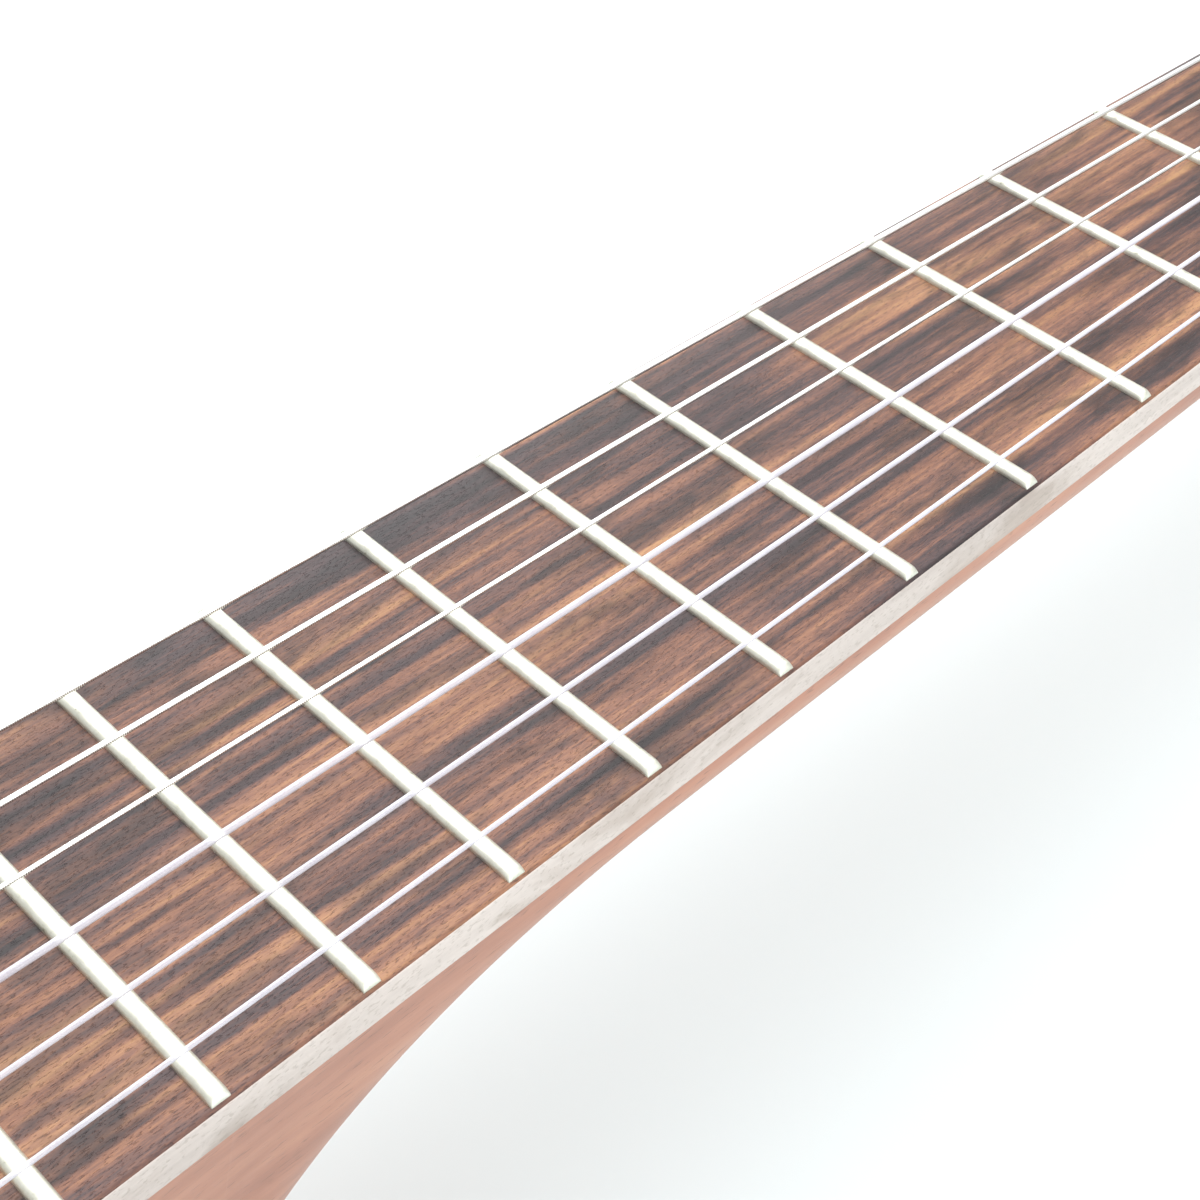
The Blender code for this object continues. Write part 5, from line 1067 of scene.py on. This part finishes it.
plateOuter = tuner["seat"] + gap + tuner["plate"]
wormTip = tuner["wormPitch"] + tuner["addendum"]
wormY, wormGap = plateOuter + gap + wormTip, tuner["gearPitch"] + tuner["wormPitch"]
toothPitch, slope = 2 * pi * tuner["gearPitch"] / teeth, tan(radians(20))
toothHalf = toothPitch / 4 - tuner["backlash"] / 2
halfTip, halfRoot = toothHalf - slope * tuner["addendum"], toothHalf + slope * tuner["dedendum"]
earInner = 1.5 * toothPitch + halfRoot + gap
faceY = wormY + tuner["gearWidth"] / 2
screwTurns = (0.35, 1.9, 2.6, 0.9, 1.4, 2.2, 0.1, 2.9)


def mirrored(solid, side):
    return [Vector((x, y * side, z)) for x, y, z in solid[0]], solid[1]


def bothWays(flankLine):
    # a tooth's outline from one of its flanks: pairs of radius and half width
    return [(r, -w) for r, w in flankLine] + flankLine[::-1]


def gearTeeth():
    # teeth slanted to match the worm, with a gap facing it
    tip, root = tuner["gearPitch"] + tuner["addendum"], tuner["gearPitch"] - tuner["dedendum"]
    slant = toothPitch / (2 * pi * tuner["wormPitch"] * tuner["gearPitch"])
    rings = []
    for k, lower in enumerate(mm([0.25, 0.08, 0, 0, 0, 0.08, 0.25])):
        y = tuner["gearWidth"] * (k / 6 - 0.5)
        tooth = bothWays([(root, halfRoot), (root + 0.0009, halfRoot * 0.62 + halfTip * 0.38),
                          (tip - 0.0003 - lower, halfTip + 0.00004), (tip - lower, halfTip * 0.72)])
        ring = []
        for n in range(teeth):
            for r, w in tooth:
                a = 2 * pi * (n + 0.5) / teeth + y * slant + w / tuner["gearPitch"]
                ring.append((-r * cos(a), wormY + y, r * sin(a)))
        rings.append(ring)
    return loft(rings)


def wormThread(steps=36):
    inner, extra = tuner["wormPitch"] - tuner["dedendum"] - 0.0002, slope * 0.0002
    section = bothWays([(inner, halfRoot + extra), (wormTip - 0.00015, halfTip + 0.00003),
                        (wormTip, halfTip - 0.00012)])
    count = round(1.5 * steps)
    rings = []
    for i in range(-count, count + 1):
        a = 2 * pi * i / steps
        full = 0.05 + 0.95 * min(1.0, (count - abs(i)) / (steps / 5))  # the thread runs out at both ends
        spots = [(inner + (r - inner) * full, toothPitch * i / steps + z) for r, z in section]
        rings.append([(r * cos(a), r * sin(a), z) for r, z in spots])
    return loft(rings)


def screwHead(name, at, radius, height, slot, node, reach, half, foot, crossed=False):
    # a domed head with one slot or two crossed ones; reach, half and foot are shares of the radius and height
    dome = [(height * (0.35 + 0.65 * z), radius * (0.3 + 0.7 * x)) for x, z in arc(1, 0, pi / 2, 5)]
    x, y = radius * reach, radius * half
    arms = [(x, y), (y, x)] if crossed else [(x, y)]
    grooves = [box(-x, x, -y, y, height * foot, height * 2) for x, y in arms]
    head = turned([(-0.0001, 0), (-0.0001, radius)] + dome + [(height, 0)], 28)
    carved(name, head, steel, slot, node, *grooves, at=at, smooth=35)


def screwPlace(at, k):
    # each screw stopped at its own angle
    return at @ Matrix.Rotation(screwTurns[k], 4, "Z")


def tunerPiece(name, solid, material, node, place, side, first=Matrix(), slot="brass", smooth=30):
    # a piece of a roller or button, turned by first, mirrored on the treble side and put in its place
    part(name + node[-1], mirrored(moved(solid, first), side), material, slot, node, smooth, place)


worms = {-1: [], 1: []}
for number, x, side, rank in rollers:
    place = headFrame @ shift(x, 0, -tuner["depth"])
    node = f"tuner_roller_{number}"
    where = node, place, side
    r, inner, seat, axle = tuner["rollerRadius"], head["rib"] / 2 - tuner["journal"], tuner["seat"], tuner["axle"]
    alongY = Matrix.Rotation(-pi / 2, 4, "X")
    start, end, deep = tuner["groove"]
    profile = [(inner, 0), (inner, r - tuner["rollerEdge"]), (inner + tuner["rollerEdge"], r), (start, r),
               (start, r - deep), (end, r - deep), (end, r), (seat - 0.0002, r), (seat - 0.0002, 0)]
    barrel = mirrored(moved(turned(profile, 56), alongY), side)
    stringHole = moved(rod(-0.01, 0.01, 0.0009, 24), shift(*tailHoles[number], 0))
    carved(f"rollerBarrel{number}", barrel, rollerPlastic, "button_plastic", node, stringHole, at=place)
    tunerPiece("rollerAxle", rod(seat - 0.0004, faceY + 0.0008, axle, 36), steel, *where, alongY)
    tunerPiece("gearWheel", gearTeeth(), brass, *where, smooth=25)
    profile = mm([(0, 0), (0, 3.4), (0.3, 3.6), (0.8, 3.6), (1.1, 3.3), (1.4, 2.4), (1.4, 0)])
    carved(f"gearScrew{number}", turned(profile, 40), steel, "brass", node,
           box(-0.004, 0.004, -0.0004, 0.0004, 0.0007, 0.003),
           at=screwPlace(place @ shift(0, side * faceY, 0) @ turnTo(0, side, 0), number - 1))

    worms[side].append(x - wormGap)
    place = headFrame @ shift(x - wormGap, side * wormY, -tuner["depth"])
    where = f"tuner_button_{number}", place, side
    top, thin, wide = earInner + tuner["ear"] + gap, tuner["shaft"], tuner["collar"]
    low = tuner["button"][2] - tuner["buttonDrop"]
    tunerPiece("wormShaft", turned([
        (low - 0.002, 0), (low - 0.002, thin), (-top - 0.0014, thin), (-top - 0.0014, wide - 0.0003),
        (-top - 0.0011, wide), (-top - 0.0003, wide), (-top, wide - 0.0003), (-top, thin), (top, thin),
        (top, wide - 0.0004), (top + 0.0006, wide - 0.0003), (top + 0.0009, wide - 0.0008), (top + 0.0009, 0),
    ], 36), steel, *where)
    tunerPiece("wormThread", wormThread(), steel, *where)
    ferrule = ((0.6, 0), (0.6, 2.4), (1.2, 2.6), (1.8, 2.4), (2.2, 1.9), (4.0, 1.7), (4.2, 0))
    tunerPiece("buttonFerrule", turned([(low + mm(z), mm(r)) for z, r in ferrule], 36), brass, *where)
    curve = [(-cos(a), sin(a) ** 0.8 * (0.95 + 0.05 * cos(a))) for a in [pi * k / 28 for k in range(1, 28)]]
    size = shift(0, 0, -tuner["buttonDrop"]) @ Matrix.Diagonal((*tuner["button"], 1))
    tunerPiece("pearlButton", turned([(-1.0, 0)] + curve + [(1.0, 0)], 48), pearl, *where, size, "button_plastic", 60)

for side, name in ((-1, "treble"), (1, "bass")):
    near, far, high = min(worms[side]), max(worms[side]), tuner["plateHalf"]
    sheet = roundedBox(near - 0.007, far + wormGap + 0.014, -high, high, 0.003, 6)
    flat = prism(sheet, tuner["seat"] + gap, plateOuter)
    plate = meshPiece(f"sidePlate{name}", ([(x, side * z, y) for x, y, z in flat[0]], flat[1]), brass, 0)
    earHalf, foot = tuner["shaft"] + 0.0022, plateOuter - 0.0006
    earTop = wormY + tuner["shaft"] + 0.0018 - earHalf
    for x in worms[side]:
        ear = [(x - earHalf, foot), (x + earHalf, foot)] + arc(earHalf, 0, pi, 14, x, earTop)
        ears = [mirrored(prism(ear, z, z + tuner["ear"]), side) for z in (earInner, -earInner - tuner["ear"])]
        cut(plate, *ears, operation="UNION")
        axle = moved(rod(0, 0.06, tuner["axle"] + gap, 40), shift(x + wormGap, 0, 0) @ turnTo(0, side, 0))
        cut(plate, prism(circle(tuner["shaft"] + gap, 28, x, side * wormY), -0.02, 0.02), axle)
    plateFrame = headFrame @ shift(0, 0, -tuner["depth"])
    plate.data.transform(plateFrame)
    soften(fit(shade(plate, 28), f"tuner_plate_{name}"), 0.00018)
    for k, x in enumerate((near + 0.0230, near + 0.0580, far + wormGap + 0.0103)):
        at = plateFrame @ shift(x, side * (plateOuter + 0.00002), 0) @ turnTo(0, side, 0)
        at = screwPlace(at, k + (side > 0) * 3)
        screwHead(f"plateScrew{name}{k}", at, 0.0021, 0.0010, "brass", f"tuner_plate_{name}", 1.2, 0.11, 0.45)
print("tuning machines made")


# preamp, knobs and battery door

halfX, halfY, face, play = panel["halfX"], panel["halfY"], panel["thickness"], panel["play"]
axisX, axisZ = panel["doorAxis"]
doorHalf, doorR, reach = panel["doorHalf"], panel["doorRadius"], panel["doorReach"]
x0, x1, bayHalf, bayDepth = panel["bay"]
knobSpots = [(panel["knobX"], (1 - i) * panel["knobSpacing"]) for i in range(3)]
doorFrame = shift(axisX, 0, axisZ)
shape = roundedBox(-halfX, halfX, -halfY, halfY, panel["corner"], 8)
# mm in from the side, mm down from the face, with a flat under
rounded = [(mm(d), face - mm(down)) for d, down in ((0, 1.0), (0.15, 0.5), (0.5, 0.15), (1.0, 0))]
plate = [[(x, y, z) for x, y in inset(shape, d)] for d, z in [(0, 0)] + rounded]
x, y = halfX - panel["inset"], halfY - panel["inset"]
housing = box(-x, x, -y, y, -panel["housing"], face / 2)
soften(carved(
    "preampPanel", loft(plate), absGrained, "black_plastic", "preamp_unit",
    box(x0, x1, -bayHalf, bayHalf, face - bayDepth, 0.01),
    box(axisX - reach - play, axisX + doorR + play, -doorHalf - play, doorHalf + play, axisZ - doorR - gap, 0.01),
    moved(rod(-panel["pinRoom"], panel["pinRoom"], panel["pin"] + gap, 24), doorFrame @ turnTo(0, 1, 0)),
    *[prism(circle(panel["shaft"] + gap, 36, *spot), -0.004, 0.01) for spot in knobSpots],
    added=[housing], at=panelFrame, smooth=28), 0.00025)
marks = []
for spot in knobSpots:
    for k in range(11):  # scale marks from one stop of the knob to the other, longer at the stops and the middle
        a = radians(-135 + 27 * k)
        along, across = Vector((cos(a), sin(a))), Vector((-sin(a), cos(a))) * panel["markHalf"]
        near = Vector(spot) + along * panel["markStart"]
        far = near + along * panel["marks"][k % 5 == 0]
        marks.append(prism([near - across, far - across, far + across, near + across], face - 0.0001, face + 0.00004))
part("scaleMarks", joined(marks), printedInk, "knob_plastic", "preamp_unit", smooth=0, at=panelFrame)
lensFrame = panelFrame @ shift(*panel["lensSpot"], face)
lens = mm([(-0.5, 0), (-0.5, 1.3), (0.2, 1.3), (0.6, 1.1), (0.9, 0.7), (1.0, 0.3), (1.0, 0)])
part("batteryLens", turned(lens, 28), redLens, "black_plastic", "preamp_unit", smooth=60, at=lensFrame)
ring = mm([(-0.3, 0), (-0.3, 1.9), (0.2, 1.9), (0.4, 1.7), (0.4, 1.4), (0.1, 1.4), (0.1, 0)])
part("lensRing", turned(ring, 28), steel, "jack_metal", "preamp_unit", at=lensFrame)
for k, (x, y) in enumerate(((1, 1), (-1, 1), (-1, -1), (1, -1))):
    at = screwPlace(panelFrame @ shift(x * panel["screwSpot"][0], y * panel["screwSpot"][1], face), k)
    screwHead(f"panelScrew{k}", at, 0.0013, 0.0005, "jack_metal", "preamp_unit", 0.55, 0.1, 0.35, True)
floorZ = face - bayDepth
start, end, half = x0 + 0.0004, x1 - 0.0004, 0.018
pad = easedPrism([(start, -half), (end, -half), (end, half), (start, half)], floorZ + 0.00005, floorZ + 0.0022, 0.0005)
part("bayFoam", pad, foam, "black_plastic", "preamp_unit", smooth=40, at=panelFrame)
for k, x in enumerate((x0 + 0.0085, x1 - 0.0085)):  # cone springs for the battery's poles
    coil = []
    for a in [0.3 * n for n in range(84)]:
        r = 0.0028 * (1 - 0.25 * a / 25)
        spot = (x + r * cos(a), -bayHalf + 0.0004 + 0.00011 * a, floorZ + 0.0105 + r * sin(a))
        coil.append(panelFrame @ Vector(spot))
    sweep(f"bayContact{k}", coil, 0.0002, 8, steel, "jack_metal", "preamp_unit")


def ribbed(count, depth, low, high):
    # ribs round a turned piece between two heights, as a share of its radius
    return lambda z, a: 1 - (depth * (0.5 + 0.5 * cos(count * a)) if low < z < high else 0)


tall, radius = panel["knobHeight"], panel["knobRadius"]
for spot, name in zip(knobSpots, ("volume", "treble", "bass")):
    node, at = f"{name}_knob", panelFrame @ shift(*spot, face)
    profile = [(gap, 0), (gap, radius), (tall * 0.20, radius), (tall * 0.25, radius * 0.995)]
    # mm down from the top, share of the radius
    profile += [(tall - mm(down), radius * share) for down, share in
                ((1.2, 0.85), (0.6, 0.82), (0.2, 0.76), (0, 0.70), (0.2, 0.62), (0.3, 0))]
    grip = turned(profile, 144, ribbed(24, 0.035, tall * 0.22, tall - 0.0007))
    carved(f"{name}KnobGrip", grip, absSmooth, "knob_plastic", node,
           box(radius * 0.14, radius * 0.95, -0.00035, 0.00035, tall - 0.0007, tall + 0.001), at=at)
    stem = rod(-panel["shaftLength"], gap + 0.0002, panel["shaft"], 36)
    part(f"{name}KnobStem", stem, steel, "jack_metal", node, at=at)
    mark = box(radius * 0.16, radius * 0.80, -0.00030, 0.00030, tall - 0.00068, tall - 0.00032)
    part(f"{name}KnobLine", mark, printedInk, "knob_plastic", node, smooth=0, at=at)

leaf = arc(doorR, pi / 2, -pi, 14) + [(0.0003 - reach, -doorR), (-reach, 0.0003 - doorR), (-reach, doorR - 0.0004),
                                     (0.00012 - reach, doorR - 0.00012), (0.0004 - reach, doorR)]
scoop = turned(mm([(-12, 0), (-7.2, 4.8), (-3.6, 7.2), (0, 8), (3.6, 7.2), (7.2, 4.8), (12, 0)]), 48)
scoopFrame = shift(-reach - 0.0036, 0, doorR + 0.0062) @ Matrix.Diagonal((0.95, 1.2, 0.92, 1))
slab = loft([[(x, y, z) for x, z in leaf] for y in (-doorHalf, doorHalf)])
pin = moved(rod(-panel["pinEnd"], panel["pinEnd"], panel["pin"], 24), turnTo(0, 1, 0))
soften(carved("doorLeaf", slab, absSmooth, "black_plastic", "battery_door", moved(scoop, scoopFrame), added=[pin],
              at=panelFrame @ doorFrame, smooth=28), 0.0002)
for k in range(6):  # grip ribs, each shorter than the one before
    low, half = 0.0068 - reach + 0.0014 * k, 0.0085 - 0.0006 * k
    rib = [(low, -half), (low + 0.0007, -half), (low + 0.0007, half), (low, half)]
    part(f"doorRib{k}", easedPrism(rib, doorR - 0.0002, doorR + 0.00028, 0.00022), absSmooth, "black_plastic",
         "battery_door", smooth=50, at=panelFrame @ doorFrame)

# end-pin jack
blockFace = wall + shell["liningWidth"] + 0.026 + gap
barrel, flange, out = mm([6.0, 8.5, 12.5])
start = -blockFace - 0.0072
profile = [(start, 0), (start, barrel - 0.0003), (start + 0.0003, barrel), (-0.004, barrel), (gap, barrel),
           (gap, flange - 0.0003), (gap + 0.0003, flange), (0.0020, flange), (0.0025, flange - 0.0004),
           (0.0033, barrel + 0.0002), (0.0040, barrel - 0.0002)]
# mm back from the outer end, radius
profile += [(out - mm(back), r) for back, r in (
    (4.6, barrel - 0.0002), (4.0, barrel + 0.0001), (2.8, flange - 0.0012), (2.5, flange - 0.0008),
    (0.8, flange - 0.0008), (0.3, flange - 0.0012), (0, flange - 0.0018), (0, 0.0037), (0.4, 0.0033), (31, 0.0033),
    (31, 0))]
knurl = turned(profile, 176, ribbed(44, 0.02, out - 0.0026, out - 0.0007))
part("jackBarrel", knurl, steel, "jack_metal", "output_jack", smooth=25, at=jackFrame)
lock = easedPrism(circle(flange - 0.0004, 6), -blockFace - 0.003, -blockFace - 0.00005, 0.0003)
through = prism(circle(barrel + 0.00005, 40), -blockFace - 0.01, 0.01 - blockFace)
carved("jackNut", lock, steel, "jack_metal", "output_jack", through, smooth=25, at=jackFrame)
print("electronics made")


# CAD pieces that stay as they are get their finish and broken edges; their faces come apart, so they are welded first

broken = {"neck_block": (limeUpright, 0.0006), "end_block": (limeUpright, 0.0006), "saddle_pickup": (brass, 0.0001)}
for name, (material, width) in broken.items():
    kept = frame["nodes"][name]
    kept.data.materials.clear()
    kept.data.materials.append(material)
    shade(kept, 30).modifiers.new("weld", "WELD").merge_threshold = 0.00002
    soften(kept, width, 2, 35)
